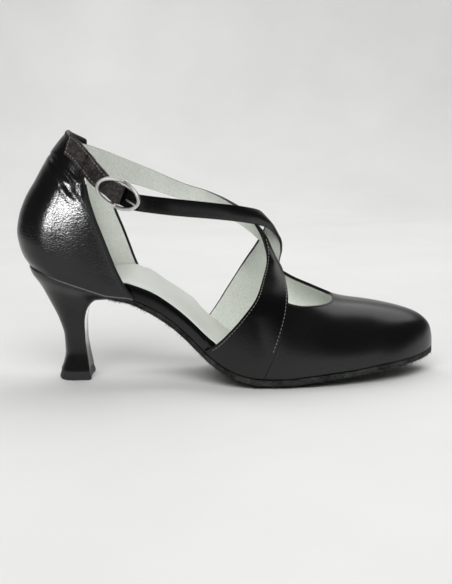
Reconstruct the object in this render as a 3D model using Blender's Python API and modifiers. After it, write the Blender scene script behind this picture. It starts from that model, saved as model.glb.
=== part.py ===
"""Ballroom dance shoe for the right foot, modelled as its maker's separate pieces.

The toe points to +X, the outer (buckle) side is -Y, the inner side +Y and the floor is z = 0.
Sizes are in millimetres up to the point where a mesh is made, which is in metres.
"""

from math import cos, pi, radians, sin

import bmesh
import bpy
import numpy as np
from mathutils import Matrix, Vector

MM = 0.001
OBJECT = "ballroom_dance_shoe"

# Driving dimensions
LENGTH_FRONT = 119.4      # toe end of the last
SEAT_BACK = -109.0        # back of the heel seat
BREAST = -61.5            # front edge of the heel block
SEAT_HEIGHT = 65.2        # heel seat above the floor at its back
SEAT_SLOPE = -0.357       # fall of the seat towards the toe
WALL = 1.6                # leather and lining of the upper
STRAP_WALL = 1.8
GAP = 0.3                 # clearance between pieces that meet
TOE_CLEAR = 0.2           # further clearance under the vamp, whose edge is cut in straight runs
BOARD_INSET = 2.3         # insole edge to feather line where the upper stands beside it
CUP_CLEAR = 0.5           # step of the insole edge to the edge of the upper
STEP_RUN = 2.4            # length over which the insole edge steps in or out
SOLE_CROWN = 1.8          # rise of the sole's edges over its middle
ARCH_LIFT = 4.0           # rise of the inner side at the waist
ARCH_CENTRE = -28.0
ARCH_HALF_LENGTH = 34.0
SOLE_SECTIONS = 36
HEEL_SECTIONS = 9
TIP_HEIGHT = 3.8          # top piece under the heel
OVERLAY = 0.7             # strap bases and buckle tab stand proud of the leather they lie on
CUP_SINK = 0.4            # outer strap's end lies this far under the face of the heel cup
LAST_POWER = 2.3          # fullness of the cross sections of the last
VAMP_BACK = 20.0          # rear edge of the vamp at the sole and its lean forward at the crest
VAMP_LEAN = 6.0
CENTRE_X = 1.7            # middle of the finished shoe's box, moved to the origin
CENTRE_Y = -0.6
UP = Vector((0.0, 0.0, 1.0))


def monotone(xs, ys, x):
    """Smooth curve through (xs, ys) that never overshoots a row."""
    xs = np.asarray(xs, float)
    ys = np.asarray(ys, float)
    step = np.diff(xs)
    slope = np.diff(ys) / step
    tangent = np.zeros_like(ys)
    tangent[0] = slope[0]
    tangent[-1] = slope[-1]
    for k in range(1, len(xs) - 1):
        if slope[k - 1] * slope[k] > 0:
            w1 = 2 * step[k] + step[k - 1]
            w2 = step[k] + 2 * step[k - 1]
            tangent[k] = (w1 + w2) / (w1 / slope[k - 1] + w2 / slope[k])
    k = int(np.clip(np.searchsorted(xs, x) - 1, 0, len(step) - 1))
    t = float(np.clip((x - xs[k]) / step[k], 0.0, 1.0))
    return ((1 + 2 * t) * (1 - t) ** 2 * ys[k] + t * (1 - t) ** 2 * step[k] * tangent[k]
            + t * t * (3 - 2 * t) * ys[k + 1] + t * t * (t - 1) * step[k] * tangent[k + 1])


class Table:
    """Rows of named columns, read at any value of the first column."""

    def __init__(self, names, rows):
        columns = np.array(rows, float).T
        self.keys = columns[0]
        self.columns = dict(zip(names.split()[1:], columns[1:]))

    def at(self, name, key):
        return monotone(self.keys, self.columns[name], key)


# Sections along the last: half widths at the feather line, sole underside on the
# centre line, sole thickness and insole thickness
LAST = Table("x outer inner under sole board", [
    (-109.0, 22.2, 22.2, 65.2, 0.9, 4.5),
    (-88.0, 22.3, 22.3, 57.7, 0.9, 6.5),
    (-75.0, 22.4, 22.2, 53.1, 0.9, 7.0),
    (-61.0, 21.8, 21.6, 48.0, 0.9, 7.8),
    (-53.0, 21.2, 21.0, 44.8, 2.2, 8.2),
    (-45.0, 21.0, 20.5, 40.8, 2.6, 8.6),
    (-38.0, 21.0, 20.0, 36.6, 2.8, 9.0),
    (-29.0, 22.0, 19.2, 30.0, 3.0, 9.3),
    (-21.0, 24.0, 19.2, 22.8, 3.3, 9.5),
    (-15.0, 26.3, 19.8, 16.8, 3.6, 9.5),
    (-7.0, 30.3, 21.8, 9.6, 3.9, 9.0),
    (1.0, 33.9, 24.6, 5.0, 4.0, 7.5),
    (10.0, 36.8, 28.0, 1.6, 4.0, 5.5),
    (20.0, 38.1, 31.6, -0.2, 4.0, 4.2),
    (32.0, 38.1, 35.0, -0.5, 4.0, 3.6),
    (45.0, 37.3, 37.2, 0.1, 4.0, 3.4),
    (56.0, 35.7, 37.6, 1.0, 4.0, 3.3),
    (73.0, 31.8, 36.2, 2.0, 4.0, 3.2),
    (85.0, 27.8, 33.4, 3.0, 4.0, 3.1),
    (97.0, 21.8, 28.4, 4.2, 4.0, 3.0),
    (104.0, 16.6, 23.8, 5.2, 4.0, 3.0),
    (110.0, 10.8, 18.8, 6.2, 4.0, 3.0),
    (114.5, 5.4, 14.0, 7.0, 4.0, 3.0),
    (117.6, 0.4, 9.6, 7.6, 4.0, 3.0),
    (119.4, -3.6, 5.4, 8.0, 4.0, 3.0),
])
HEEL_RADIUS = 22.2        # round back of the heel seat in plan

# Crest of the vamp, from the straps to the toe end
CREST = Table("x height", [
    (10.0, 97.0), (21.0, 83.0), (24.6, 75.5), (29.7, 65.0), (33.0, 59.8), (40.0, 53.4), (50.0, 47.4),
    (60.0, 42.8), (68.0, 41.6), (85.0, 38.6), (102.5, 33.8), (110.0, 30.0), (115.5, 25.4), (118.4, 20.4),
    (119.4, 15.6),
])

# Heel cup: how the back and the front edge lean with the height over the feather line,
# and how much the sides widen at the front and draw in at the back
CUP = Table("rise back front widen draw", [
    (0.0, 0.0, 0.0, 0.00, 0.00),
    (6.5, -3.8, -5.4, 0.05, -0.06),
    (13.0, -6.0, -8.7, 0.08, -0.09),
    (18.5, -7.0, -11.0, 0.11, -0.10),
    (27.0, -6.2, -14.0, 0.15, -0.09),
    (37.0, -3.2, -17.5, 0.20, -0.04),
    (47.0, 2.8, -21.2, 0.24, 0.04),
    (57.0, 8.9, -24.0, 0.27, 0.14),
    (63.5, 13.7, -25.0, 0.27, 0.22),
    (69.0, 18.6, -25.7, 0.26, 0.28),
    (74.0, 24.2, -26.0, 0.25, 0.34),
])
CUP_TOP = 138.6           # top of the heel cup at the back seam
CUP_FALL_OUTER = 24.3     # drop of its rim to the front edges
CUP_FALL_INNER = 17.0
CUP_FRONT_OUTER = -48.7   # front of the cup at the feather line
CUP_FRONT_INNER = -41.5
CUP_ROUND = 0.5           # share of each side that goes round the back

# Straps: one row for each section, lower or front edge and then upper or back edge.
# crown is how far the middle of the strap stands out from the line between its edges,
# and lies is 1 where the strap lies on the vamp and -1 where it lies on the heel cup.
STRAP_COLUMNS = "low_x low_y low_z high_x high_y high_z crown lies"
OUTER_STRAP = [
    (21.2, -38.0, 6.0, -11.7, -27.5, 20.0, 0.0, 1.0),
    (23.5, -38.0, 17.0, -4.5, -29.5, 24.6, 0.0, 1.0),
    (27.2, -36.0, 28.0, 3.5, -30.0, 32.6, 0.0, 1.0),
    (31.4, -31.0, 38.5, 10.6, -29.0, 41.0, 0.0, 1.0),
    (33.4, -25.8, 48.0, 16.6, -25.0, 49.2, 0.6, 1.0),
    (32.6, -18.6, 55.8, 20.6, -19.0, 57.2, 1.6, 0.2),
    (29.8, -8.5, 63.2, 22.8, -12.5, 65.0, 1.6, 0.0),
    (25.4, 0.5, 69.4, 22.0, -7.0, 73.2, 1.8, 0.0),
    (19.6, 8.5, 75.4, 18.8, -2.5, 82.6, 2.2, 0.0),
    (10.6, 18.0, 82.8, 12.6, 8.0, 91.4, 1.8, 0.0),
    (0.0, 26.5, 88.6, 3.0, 22.0, 98.0, 0.8, 0.0),
    (-12.0, 31.0, 93.6, -9.0, 30.0, 102.8, 0.4, 0.0),
    (-26.5, 33.0, 98.4, -23.0, 32.8, 107.2, 0.3, 0.0),
    (-46.5, 31.0, 105.4, -43.0, 31.5, 115.2, 0.3, 0.0),
    (-62.0, 27.6, 110.2, -59.0, 28.2, 122.0, 0.3, 0.0),
    (-71.0, 26.0, 112.6, -68.4, 26.4, 125.6, 0.0, -0.9),
    (-79.0, 24.0, 114.0, -77.0, 22.0, 128.4, 0.0, -1.0),
    (-86.0, 21.0, 115.0, -83.0, 17.0, 130.6, 0.0, -1.0),
]
INNER_STRAP = [
    (22.0, 32.0, 6.0, -17.0, 20.5, 27.0, 0.0, 1.0),
    (24.5, 33.0, 19.0, -11.5, 22.5, 30.6, 0.0, 1.0),
    (29.0, 32.0, 31.0, -6.6, 24.5, 37.0, 0.0, 1.0),
    (33.4, 28.5, 42.5, -1.0, 25.5, 45.6, 0.0, 1.0),
    (35.2, 22.5, 51.6, 5.0, 23.8, 54.6, 1.0, 0.8),
    (34.2, 17.5, 61.0, 10.6, 19.5, 63.6, 2.2, 0.0),
    (32.0, 10.5, 69.6, 16.2, 14.0, 72.2, 2.6, 0.0),
    (28.4, 4.0, 77.0, 20.2, 7.5, 80.4, 2.8, 0.0),
    (24.2, -2.0, 82.2, 21.4, 2.5, 87.2, 2.4, 0.0),
    (18.6, -9.5, 85.6, 19.2, -5.5, 93.4, 1.6, 0.0),
    (11.0, -18.5, 88.4, 11.4, -17.2, 97.0, 0.8, 0.0),
    (-3.0, -27.0, 91.2, -2.6, -26.8, 99.9, 0.4, 0.0),
    (-26.6, -32.8, 94.2, -26.4, -32.8, 103.3, 0.3, 0.0),
    (-41.0, -33.2, 96.2, -40.6, -33.2, 105.2, 0.3, 0.0),
]
# Buckle tab, sewn to the rim of the cup
TAB = [
    (-87.6, -9.0, 126.6, -85.6, -4.4, 136.6, 0.0, -1.0),
    (-82.4, -19.6, 123.6, -79.6, -14.4, 133.0, 0.0, -1.0),
    (-76.6, -25.4, 118.2, -72.6, -22.6, 126.8, 0.2, -0.6),
]
# Ends of the tab and of the inner strap at the buckle, in the buckle's own axes:
# middle of the leather, its half width, its turn from the ring's long axis and its outer face
TAB_AT_BUCKLE = [
    (-15.0, 1.5, 5.0, -12.0, -0.2),
    (-10.6, 0.7, 4.9, -10.0, 0.2),
    (-6.5, 0.2, 4.8, -5.0, 0.7),
    (-2.8, 0.0, 4.8, 0.0, 2.0),
    (0.0, 0.0, 4.8, 0.0, 2.7),
    (2.6, 0.0, 4.8, 0.0, 2.3),
]
STRAP_AT_BUCKLE = [
    (10.3, 1.5, 4.4, 29.0, 0.2),
    (6.2, -0.4, 4.4, 22.0, -0.6),
    (1.5, -1.0, 4.4, 8.0, -1.1),
    (-4.0, -0.6, 4.4, -6.0, -1.1),
    (-9.0, 0.3, 4.4, -10.0, -0.7),
    (-13.5, 1.2, 4.4, -10.0, -0.6),
]

# Throat of the vamp in plan
THROAT_FRONT = 60.2
THROAT_BACK = 30.0
THROAT_OUTER = 26.5
THROAT_INNER = 19.5
THROAT_RUN = 60.0         # length of the cut that opens it
THROAT_POWER = 2.2        # roundness of its front
THROAT_FLARE = 1.2        # widening under the strap bases
THROAT_FLARE_FROM = 35.0
THROAT_CUT = (22.0, 120.0)

# Heel block: back and breast line of each section and its half width
HEEL = Table("level back_x back_z front_x front_z half square", [
    (0, -109.2, 65.2, -61.5, 48.2, 22.2, 8.0),
    (1, -108.2, 61.8, -62.0, 46.9, 20.8, 8.0),
    (2, -104.2, 54.6, -70.4, 45.4, 16.4, 9.0),
    (3, -99.4, 44.0, -76.8, 39.6, 11.6, 9.0),
    (4, -95.2, 33.6, -78.6, 31.6, 8.8, 9.0),
    (5, -93.0, 24.4, -78.8, 23.8, 8.0, 9.0),
    (6, -92.5, 15.6, -78.0, 15.4, 8.4, 9.0),
    (7, -93.4, 8.4, -77.2, 8.4, 9.8, 9.0),
    (8, -95.0, 4.1, -76.6, 4.1, 11.2, 9.0),
])
BREAST_HOLLOW = 1.2       # the breast is this hollow across its middle
HEEL_BACK_LENGTH = 0.85   # roundness of the back of the sections
HEEL_BACK_WIDTH = 0.9
TIP_FLARE = 0.5

# Buckle
RING_LONG = 10.6          # half axes of the ring's centre line
RING_SHORT = 7.4
RING_WIDE = 1.05          # half width and half thickness of its section
RING_THICK = 0.85
RING_BOW = 2.4            # its ends stand this far out from the bar
BAR_RADIUS = 0.7
PRONG_RADIUS = 0.55
PRONG_START = 4.6
PRONG_PAST = 0.5
PRONG_SIDE = -1.2
PRONG_FOOT = 0.5
PRONG_POINTS = 9
BUCKLE_AT = (-56.0, -31.4, 105.6)
BUCKLE_TILT = -32.0
BUCKLE_YAW = -15.0


def arch(x):
    """Share of the arch lift at a place along the shoe."""
    return max(0.0, 1.0 - ((x - ARCH_CENTRE) / ARCH_HALF_LENGTH) ** 2) ** 2


def seat(x):
    """Height of the heel seat, a sloping plane."""
    return SEAT_HEIGHT + SEAT_SLOPE * (x - SEAT_BACK)


def outline(x):
    """Outer and inner edge of the feather line."""
    behind = max(0.0, SEAT_BACK + HEEL_RADIUS - x)
    rounded = max(0.0, HEEL_RADIUS ** 2 - behind ** 2) ** 0.5
    if behind > 0:
        return -min(LAST.at("outer", x), rounded), min(LAST.at("inner", x), rounded)
    return -LAST.at("outer", x), LAST.at("inner", x)


def cross_rise(x, y):
    """Rise of sole and insole towards their edges and over the arch."""
    outer, inner = outline(x)
    across = y / (inner if y > 0 else -outer) if x > SEAT_BACK + HEEL_RADIUS else 0.0
    crown = SOLE_CROWN * monotone((-61, -20, 20, 80, 114), (0.0, 0.6, 1.0, 1.0, 0.0), x) * across ** 4
    return crown + (ARCH_LIFT * arch(x) * across ** 2 if y > 0 else 0.0)


def sole_under(x, y):
    return max(0.0, LAST.at("under", x) + cross_rise(x, y))


def sole_over(x, y):
    return sole_under(x, y) + LAST.at("sole", x)


def feather(x, y):
    """Lower edge of the upper: on the sole in front and on the heel seat behind."""
    on_sole = sole_over(x, y) + GAP
    on_seat = seat(x) + GAP
    blend = min(1.0, max(0.0, (x - BREAST + 4.0) / 4.0))
    return on_seat * (1 - blend) + on_sole * blend


def last_side(x, z, inner):
    """Half width of the vamp at a height, on its outer or its inner side."""
    low, high = outline(x)
    edge = high if inner else low
    middle = (low + high) / 2
    base = feather(x, edge)
    share = min(1.0, max(0.0, (z - base) / (CREST.at("height", x) - base)))
    return middle + (edge - middle) * (1 - share ** 2) ** (1 / LAST_POWER)


def vamp(u, v):
    """Point of the vamp: u runs to the toe, v from the outer feather line over to the inner."""
    turn = pi * v
    back = VAMP_BACK + VAMP_LEAN * sin(turn)
    x = back + (LENGTH_FRONT - back) * sin(u * pi / 2)
    low, high = outline(x)
    middle = (low + high) / 2
    side = cos(turn)
    y = middle - (high - low) / 2 * np.sign(side) * abs(side) ** (2 / LAST_POWER)
    base = feather(x, low if v < 0.5 else high) + TOE_CLEAR
    return x, y, base + (CREST.at("height", x) - base) * sin(turn)


def cup_column(part, inner):
    """Foot of the heel cup and the height of its rim, part running from the back to a front edge."""
    turn = min(1.0, part / CUP_ROUND) * pi / 2
    straight = max(0.0, (part - CUP_ROUND) / (1 - CUP_ROUND))
    front = CUP_FRONT_INNER if inner else CUP_FRONT_OUTER
    x = SEAT_BACK + HEEL_RADIUS * (1 - cos(turn)) + (front - SEAT_BACK - HEEL_RADIUS) * straight
    y = outline(x)[1 if inner else 0]
    base = feather(x, y)
    fall = CUP_FALL_INNER if inner else CUP_FALL_OUTER
    return x, y, base, CUP_TOP - fall * part ** 1.4


def cup_point(part, inner, rise):
    """Point of the heel cup at a height over its foot."""
    x, y, base, _ = cup_column(part, inner)
    front = part ** 2
    x += CUP.at("back", rise) * (1 - front) + CUP.at("front", rise) * front
    y *= 1 + CUP.at("widen", rise) * front - CUP.at("draw", rise) * (1 - front)
    return x, y, base + rise


def cup(u, v):
    """Heel cup: u runs from the inner front edge round the back to the outer one, v up."""
    part, inner = abs(1 - 2 * u), u < 0.5
    _, _, base, rim = cup_column(part, inner)
    return cup_point(part, inner, v * (rim - base))


def cup_side(x, z, inner):
    """Side place of the heel cup at a given x and height."""
    near, far = 0.0, 1.0
    for _ in range(24):
        part = (near + far) / 2
        if cup_point(part, inner, z - cup_column(part, inner)[2])[0] < x:
            near = part
        else:
            far = part
    return cup_point(part, inner, z - cup_column(part, inner)[2])[1]


def through(rows, t):
    """Catmull-Rom curve through table rows, t from 0 to 1."""
    rows = np.asarray(rows, float)
    place = t * (len(rows) - 1)
    k = min(int(place), len(rows) - 2)
    f = place - k
    before = rows[max(k - 1, 0)]
    here, there = rows[k], rows[k + 1]
    after = rows[min(k + 2, len(rows) - 1)]
    return 0.5 * (2 * here + (there - before) * f
                  + (2 * before - 5 * here + 4 * there - after) * f * f
                  + (3 * here - before - 3 * there + after) * f ** 3)


def buckle_axes():
    """Buckle axes: x along the ring, y across it, z out from the ankle."""
    tilt, yaw = radians(BUCKLE_TILT), radians(BUCKLE_YAW)
    along = Vector((cos(tilt) * cos(yaw), sin(yaw), sin(tilt) * cos(yaw)))
    across = (UP - along * UP.dot(along)).normalized()
    axes = Matrix((along, across, along.cross(across))).transposed().to_4x4()
    axes.translation = Vector(BUCKLE_AT)
    return axes


def buckle_rows(ends):
    """Strap rows for a stretch of leather that is given in the buckle's axes."""
    axes = buckle_axes()
    rows = []
    for x, y, half, turn, out in ends:
        side = Vector((-sin(radians(turn)), cos(radians(turn)), 0.0)) * half
        middle = Vector((x, y, out))
        rows.append((*(axes @ (middle - side)), *(axes @ (middle + side)), 0.0, 0.0))
    return rows


def strap(rows, inner):
    """Point function of a strap: u along it, v across from its lower to its upper edge."""
    outward = 1.0 if inner else -1.0
    rows = np.asarray(rows, float)

    def edges(t, v):
        row = dict(zip(STRAP_COLUMNS.split(), through(rows, t)))
        low = np.array([row["low_x"], row["low_y"], row["low_z"]])
        high = np.array([row["high_x"], row["high_y"], row["high_z"]])
        return low + (high - low) * v, row

    def point(u, v):
        v = 1 - v if inner else v
        spot, row = edges(u, v)
        ahead = edges(min(u + 0.01, 1.0), v)[0] - edges(max(u - 0.01, 0.0), v)[0]
        across = edges(u, 1.0)[0] - edges(u, 0.0)[0]
        normal = np.cross(ahead, across) * -outward
        spot = spot + normal / np.linalg.norm(normal) * row["crown"] * 4 * v * (1 - v)
        on_last = min(1.0, max(0.0, row["lies"]))
        on_cup = min(1.0, max(0.0, -row["lies"]))
        if on_cup > 0:
            wall = cup_side(spot[0], spot[2], spot[1] > 0)
            wall += -CUP_SINK if wall > 0 else -OVERLAY
            spot[1] = spot[1] * (1 - on_cup) + wall * on_cup
        if on_last > 0:
            first = 1.0 / (len(rows) - 1)
            settle = max(0.0, 1 - u / first / 2) ** 2
            foot = edges(0.0, v)[0]
            spot[2] += settle * (feather(foot[0], foot[1]) - foot[2])
            spot[2] = max(spot[2], feather(spot[0], spot[1]) + GAP)
            wall = last_side(spot[0], spot[2], inner) + outward * OVERLAY
            spot[1] = spot[1] * (1 - on_last) + wall * on_last
        return tuple(spot)

    return point


def collection(name):
    group = bpy.data.collections.new(name)
    bpy.context.scene.collection.children.link(group)
    return group


def material(name, colour, roughness, metallic=0.0):
    finish = bpy.data.materials.new(name)
    finish.use_nodes = True
    shader = finish.node_tree.nodes["Principled BSDF"]
    shader.inputs["Base Color"].default_value = (*colour, 1.0)
    shader.inputs["Roughness"].default_value = roughness
    shader.inputs["Metallic"].default_value = metallic
    return finish


def add_object(name, mesh_builder, group, finish=None):
    """Object with its mesh moved so that the middle of the shoe is at the origin."""
    bmesh.ops.translate(mesh_builder, verts=mesh_builder.verts[:],
                        vec=(-CENTRE_X * MM, -CENTRE_Y * MM, 0.0))
    mesh = bpy.data.meshes.new(name)
    mesh_builder.to_mesh(mesh)
    mesh_builder.free()
    mesh.shade_smooth()
    mesh.set_sharp_from_angle(angle=radians(35))
    piece = bpy.data.objects.new(name, mesh)
    group.objects.link(piece)
    if finish:
        mesh.materials.append(finish)
    else:
        piece.hide_render = True
        piece.display_type = "WIRE"
    return piece


def sheet(point, along, across):
    """Grid whose corners run over u and v from 0 to 1, each vertex put in place by point."""
    builder = bmesh.new()
    bmesh.ops.create_grid(builder, x_segments=along, y_segments=across, size=0.5)
    for vert in builder.verts:
        vert.co = Vector(point(vert.co.x + 0.5, vert.co.y + 0.5)) * MM
    return builder


def slab(places, edges, under, over, across):
    """Closed slab with sections at the given x, between two edges, an underside and a top side."""
    builder = bmesh.new()
    last = len(places) - 1
    bmesh.ops.create_grid(builder, x_segments=last, y_segments=across, size=0.5)
    raised = bmesh.ops.extrude_face_region(builder, geom=builder.faces[:])["geom"]
    top = {item for item in raised if isinstance(item, bmesh.types.BMVert)}
    for vert in builder.verts:
        x = places[round((vert.co.x + 0.5) * last)]
        low, high = edges(x)
        y = low + (high - low) * end_spaced(vert.co.y + 0.5)
        vert.co = Vector((x, y, over(x, y) if vert in top else under(x, y))) * MM
    return builder


def closed_tube(point, around, along, capped=True):
    """Tube of sections: u runs round each section and v along the tube."""
    builder = sheet(point, around, along)
    bmesh.ops.remove_doubles(builder, verts=builder.verts[:], dist=1e-6)
    if capped:
        bmesh.ops.holes_fill(builder, edges=[e for e in builder.edges if e.is_boundary])
    bmesh.ops.recalc_face_normals(builder, faces=builder.faces[:])
    return builder


def solidify(piece, thickness):
    shell = piece.modifiers.new("wall", "SOLIDIFY")
    shell.thickness = thickness * MM
    shell.offset = -1.0
    shell.use_even_offset = True


def boolean(piece, other, operation, solver="EXACT"):
    cut = piece.modifiers.new(other.name, "BOOLEAN")
    cut.operation = operation
    cut.solver = solver
    cut.object = other


def end_spaced(u):
    """Even share turned into one that is closer at both ends."""
    return (1 - cos(pi * u)) / 2


def sole_places():
    """Section places of the outsole, closer together round the toe."""
    back = BREAST + GAP
    shares = [k / SOLE_SECTIONS for k in range(SOLE_SECTIONS + 1)]
    places = [back + (LENGTH_FRONT - back) * (0.6 * u + 0.4 * sin(u * pi / 2)) for u in shares]
    return places[:-1] + [LENGTH_FRONT - ahead for ahead in (1.6, 0.6, 0.0)]


def make_outsole(group, finish):
    return add_object("outsole", slab(sole_places(), outline, sole_under, sole_over, 8), group, finish)


def board_inset(x, cup_edge, front_edge):
    """Insole inset: inside the upper at heel and forefoot, flush at the open waist."""
    starts = (cup_edge, cup_edge + STEP_RUN, front_edge - STEP_RUN, front_edge)
    return GAP + (BOARD_INSET - GAP) * monotone(starts, (1.0, 0.0, 0.0, 1.0), x)


def make_insole(group, finish):
    back = SEAT_BACK + BOARD_INSET
    front = LENGTH_FRONT - BOARD_INSET - 0.8
    behind = [back + (BREAST - back) * (1 - cos(k * pi / 2 / HEEL_SECTIONS)) for k in range(HEEL_SECTIONS)]
    steps = [CUP_FRONT_OUTER + CUP_CLEAR, CUP_FRONT_INNER + CUP_CLEAR,
             OUTER_STRAP[0][3] - STEP_RUN - CUP_CLEAR, INNER_STRAP[0][3] - STEP_RUN - CUP_CLEAR]
    places = behind + [x for x in sole_places() if x < front - 0.4] + [front]
    places = sorted(places + [x + end for x in steps for end in (0.0, STEP_RUN)])

    def edges(x):
        ends = monotone((-100, -80, 60, 100), (-1.0, 0.0, 0.0, 1.0), x)
        low, high = outline(x + ends * BOARD_INSET)
        return (low + board_inset(x, CUP_FRONT_OUTER + CUP_CLEAR, OUTER_STRAP[0][3] - CUP_CLEAR),
                high - board_inset(x, CUP_FRONT_INNER + CUP_CLEAR, INNER_STRAP[0][3] - CUP_CLEAR))

    def over(x, y):
        return feather(x, y) + LAST.at("board", x)

    return add_object("insole", slab(places, edges, feather, over, 8), group, finish)


def make_upper(group, guides, finish):
    upper = add_object("upper", sheet(vamp, 26, 20), group, finish)
    solidify(upper, WALL)

    def throat_edges(x):
        ahead = max(0.0, (x - THROAT_BACK) / (THROAT_FRONT - THROAT_BACK))
        share = max(0.0, 1 - ahead ** THROAT_POWER) ** 0.5 + 0.001
        flare = THROAT_FLARE * max(0.0, THROAT_FLARE_FROM - x)
        return -THROAT_OUTER * share - flare, THROAT_INNER * share + flare

    places = [THROAT_FRONT - THROAT_RUN * (1 - sin(k * pi / 36)) for k in range(19)]
    low, high = THROAT_CUT
    cut = slab(places, throat_edges, lambda x, y: low, lambda x, y: high, 1)
    boolean(upper, add_object("throat", cut, guides), "DIFFERENCE")
    inner_rows = INNER_STRAP + buckle_rows(STRAP_AT_BUCKLE)
    tab_rows = TAB + buckle_rows(TAB_AT_BUCKLE)
    shells = [
        add_object("heel_cup", sheet(cup, 28, 12), guides),
        add_object("outer_strap", sheet(strap(OUTER_STRAP, False), 45, 4), guides),
        add_object("inner_strap", sheet(strap(inner_rows, True), 52, 4), guides),
        add_object("buckle_tab", sheet(strap(tab_rows, False), 22, 2), guides),
    ]
    for shell, wall in zip(shells, (WALL, STRAP_WALL, STRAP_WALL, WALL)):
        solidify(shell, wall)
        boolean(upper, shell, "UNION", "MANIFOLD")
    return upper


def heel_section(level, u, shrink=0.0):
    """Point of a heel section: rounded at the back, flatter and hollow at the breast."""
    turn = 2 * pi * (u % 1.0)
    back = HEEL.at("back_x", level)
    front = HEEL.at("front_x", level)
    power = 2 / HEEL.at("square", level)
    ahead = cos(turn)
    length = np.sign(ahead) * abs(ahead) ** (power if ahead > 0 else HEEL_BACK_LENGTH)
    wide = np.sign(sin(turn)) * abs(sin(turn)) ** (power if ahead > 0 else HEEL_BACK_WIDTH)
    x = (back + front) / 2 + ((front - back) / 2 - shrink) * length
    hollow = BREAST_HOLLOW * max(0.0, ahead) ** 2 * (1 - wide ** 2) * min(1.0, level / 2)
    share = (x - back) / (front - back)
    z = HEEL.at("back_z", level) * (1 - share) + HEEL.at("front_z", level) * share
    return x - hollow, (HEEL.at("half", level) - shrink) * wide, z


def make_heel(group, finish):
    last = HEEL.keys[-1]
    return add_object("heel", closed_tube(lambda u, v: heel_section(last * v, u), 28, 16), group, finish)


def make_heel_tip(group, finish):
    last = HEEL.keys[-1]

    def point(u, v):
        x, y, _ = heel_section(last, u, -TIP_FLARE * v)
        return x, y, TIP_HEIGHT * (1 - v)

    return add_object("heel_tip", closed_tube(point, 28, 1), group, finish)


def make_buckle(group, guides, finish):
    axes = buckle_axes()

    def ring_centre(turn):
        bow = RING_BOW * (1 - (1 - abs(cos(turn))) ** 2)
        return Vector((RING_LONG * cos(turn), RING_SHORT * sin(turn), bow))

    def ring(u, v):
        turn = 2 * pi * u
        round_section = -2 * pi * v
        out = Vector((cos(turn) / RING_LONG, sin(turn) / RING_SHORT, 0)).normalized()
        spot = ring_centre(turn) + out * RING_WIDE * cos(round_section)
        spot.z += RING_THICK * sin(round_section)
        return axes @ spot

    frame = add_object("buckle_frame", closed_tube(ring, 32, 8, capped=False), group, finish)
    bar = bmesh.new()
    bmesh.ops.create_cone(bar, cap_ends=True, segments=12, radius1=BAR_RADIUS * MM, radius2=BAR_RADIUS * MM,
                          depth=2 * RING_SHORT * MM, matrix=Matrix.Rotation(pi / 2, 4, "X"))
    placed = axes.copy()
    placed.translation *= MM
    bmesh.ops.transform(bar, matrix=placed, verts=bar.verts[:])
    boolean(frame, add_object("buckle_bar", bar, guides), "UNION")
    return frame


def make_prong(group, finish):
    """Wire prong that comes out of the strap and rests on the end of the ring."""
    axes = buckle_axes()
    path = bpy.data.curves.new("buckle_prong", "CURVE")
    path.dimensions = "3D"
    path.bevel_depth = PRONG_RADIUS * MM
    path.bevel_resolution = 2
    path.use_fill_caps = True
    spline = path.splines.new("POLY")
    spline.points.add(PRONG_POINTS - 1)
    top = RING_BOW + RING_THICK + GAP + PRONG_RADIUS
    for k, point in enumerate(spline.points):
        share = k / (PRONG_POINTS - 1)
        x = PRONG_START + (RING_LONG + PRONG_PAST - PRONG_START) * share
        spot = axes @ Vector((x, PRONG_SIDE, top * sin(share * pi / 2) + PRONG_FOOT * (1 - share)))
        point.co = (*((spot - Vector((CENTRE_X, CENTRE_Y, 0.0))) * MM), 1.0)
    prong = bpy.data.objects.new("buckle_prong", path)
    path.materials.append(finish)
    group.objects.link(prong)
    return prong


def main():
    for item in list(bpy.data.objects):
        bpy.data.objects.remove(item, do_unlink=True)
    group = collection(OBJECT)
    guides = collection(OBJECT + "_guides")
    leather = material("black_leather", (0.012, 0.012, 0.013), 0.3)
    suede = material("suede", (0.05, 0.05, 0.045), 0.95)
    lining = material("pale_lining", (0.55, 0.57, 0.53), 0.7)
    heel_cover = material("heel_cover", (0.01, 0.01, 0.011), 0.35)
    tip = material("top_piece", (0.03, 0.03, 0.03), 0.6)
    metal = material("nickel", (0.78, 0.77, 0.75), 0.18, 1.0)
    make_outsole(group, suede)
    make_insole(group, lining)
    make_upper(group, guides, leather)
    make_heel(group, heel_cover)
    make_heel_tip(group, tip)
    make_buckle(group, guides, metal)
    make_prong(group, metal)


main()
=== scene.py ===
"""Ballroom dance shoe for the right foot: leather, linings, stitches, covered heel and buckle.

The toe points to +X, the outer (buckle) side is -Y and the floor is z = 0. The shape functions
work in millimetres, and every mesh is in metres.
"""

import random
from bisect import bisect_right
from math import asin, cos, exp, hypot, pi, radians, sin

import bmesh
import bpy
from bpy.props import FloatProperty, FloatVectorProperty, PointerProperty
from mathutils import Matrix, Vector, noise


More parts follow.
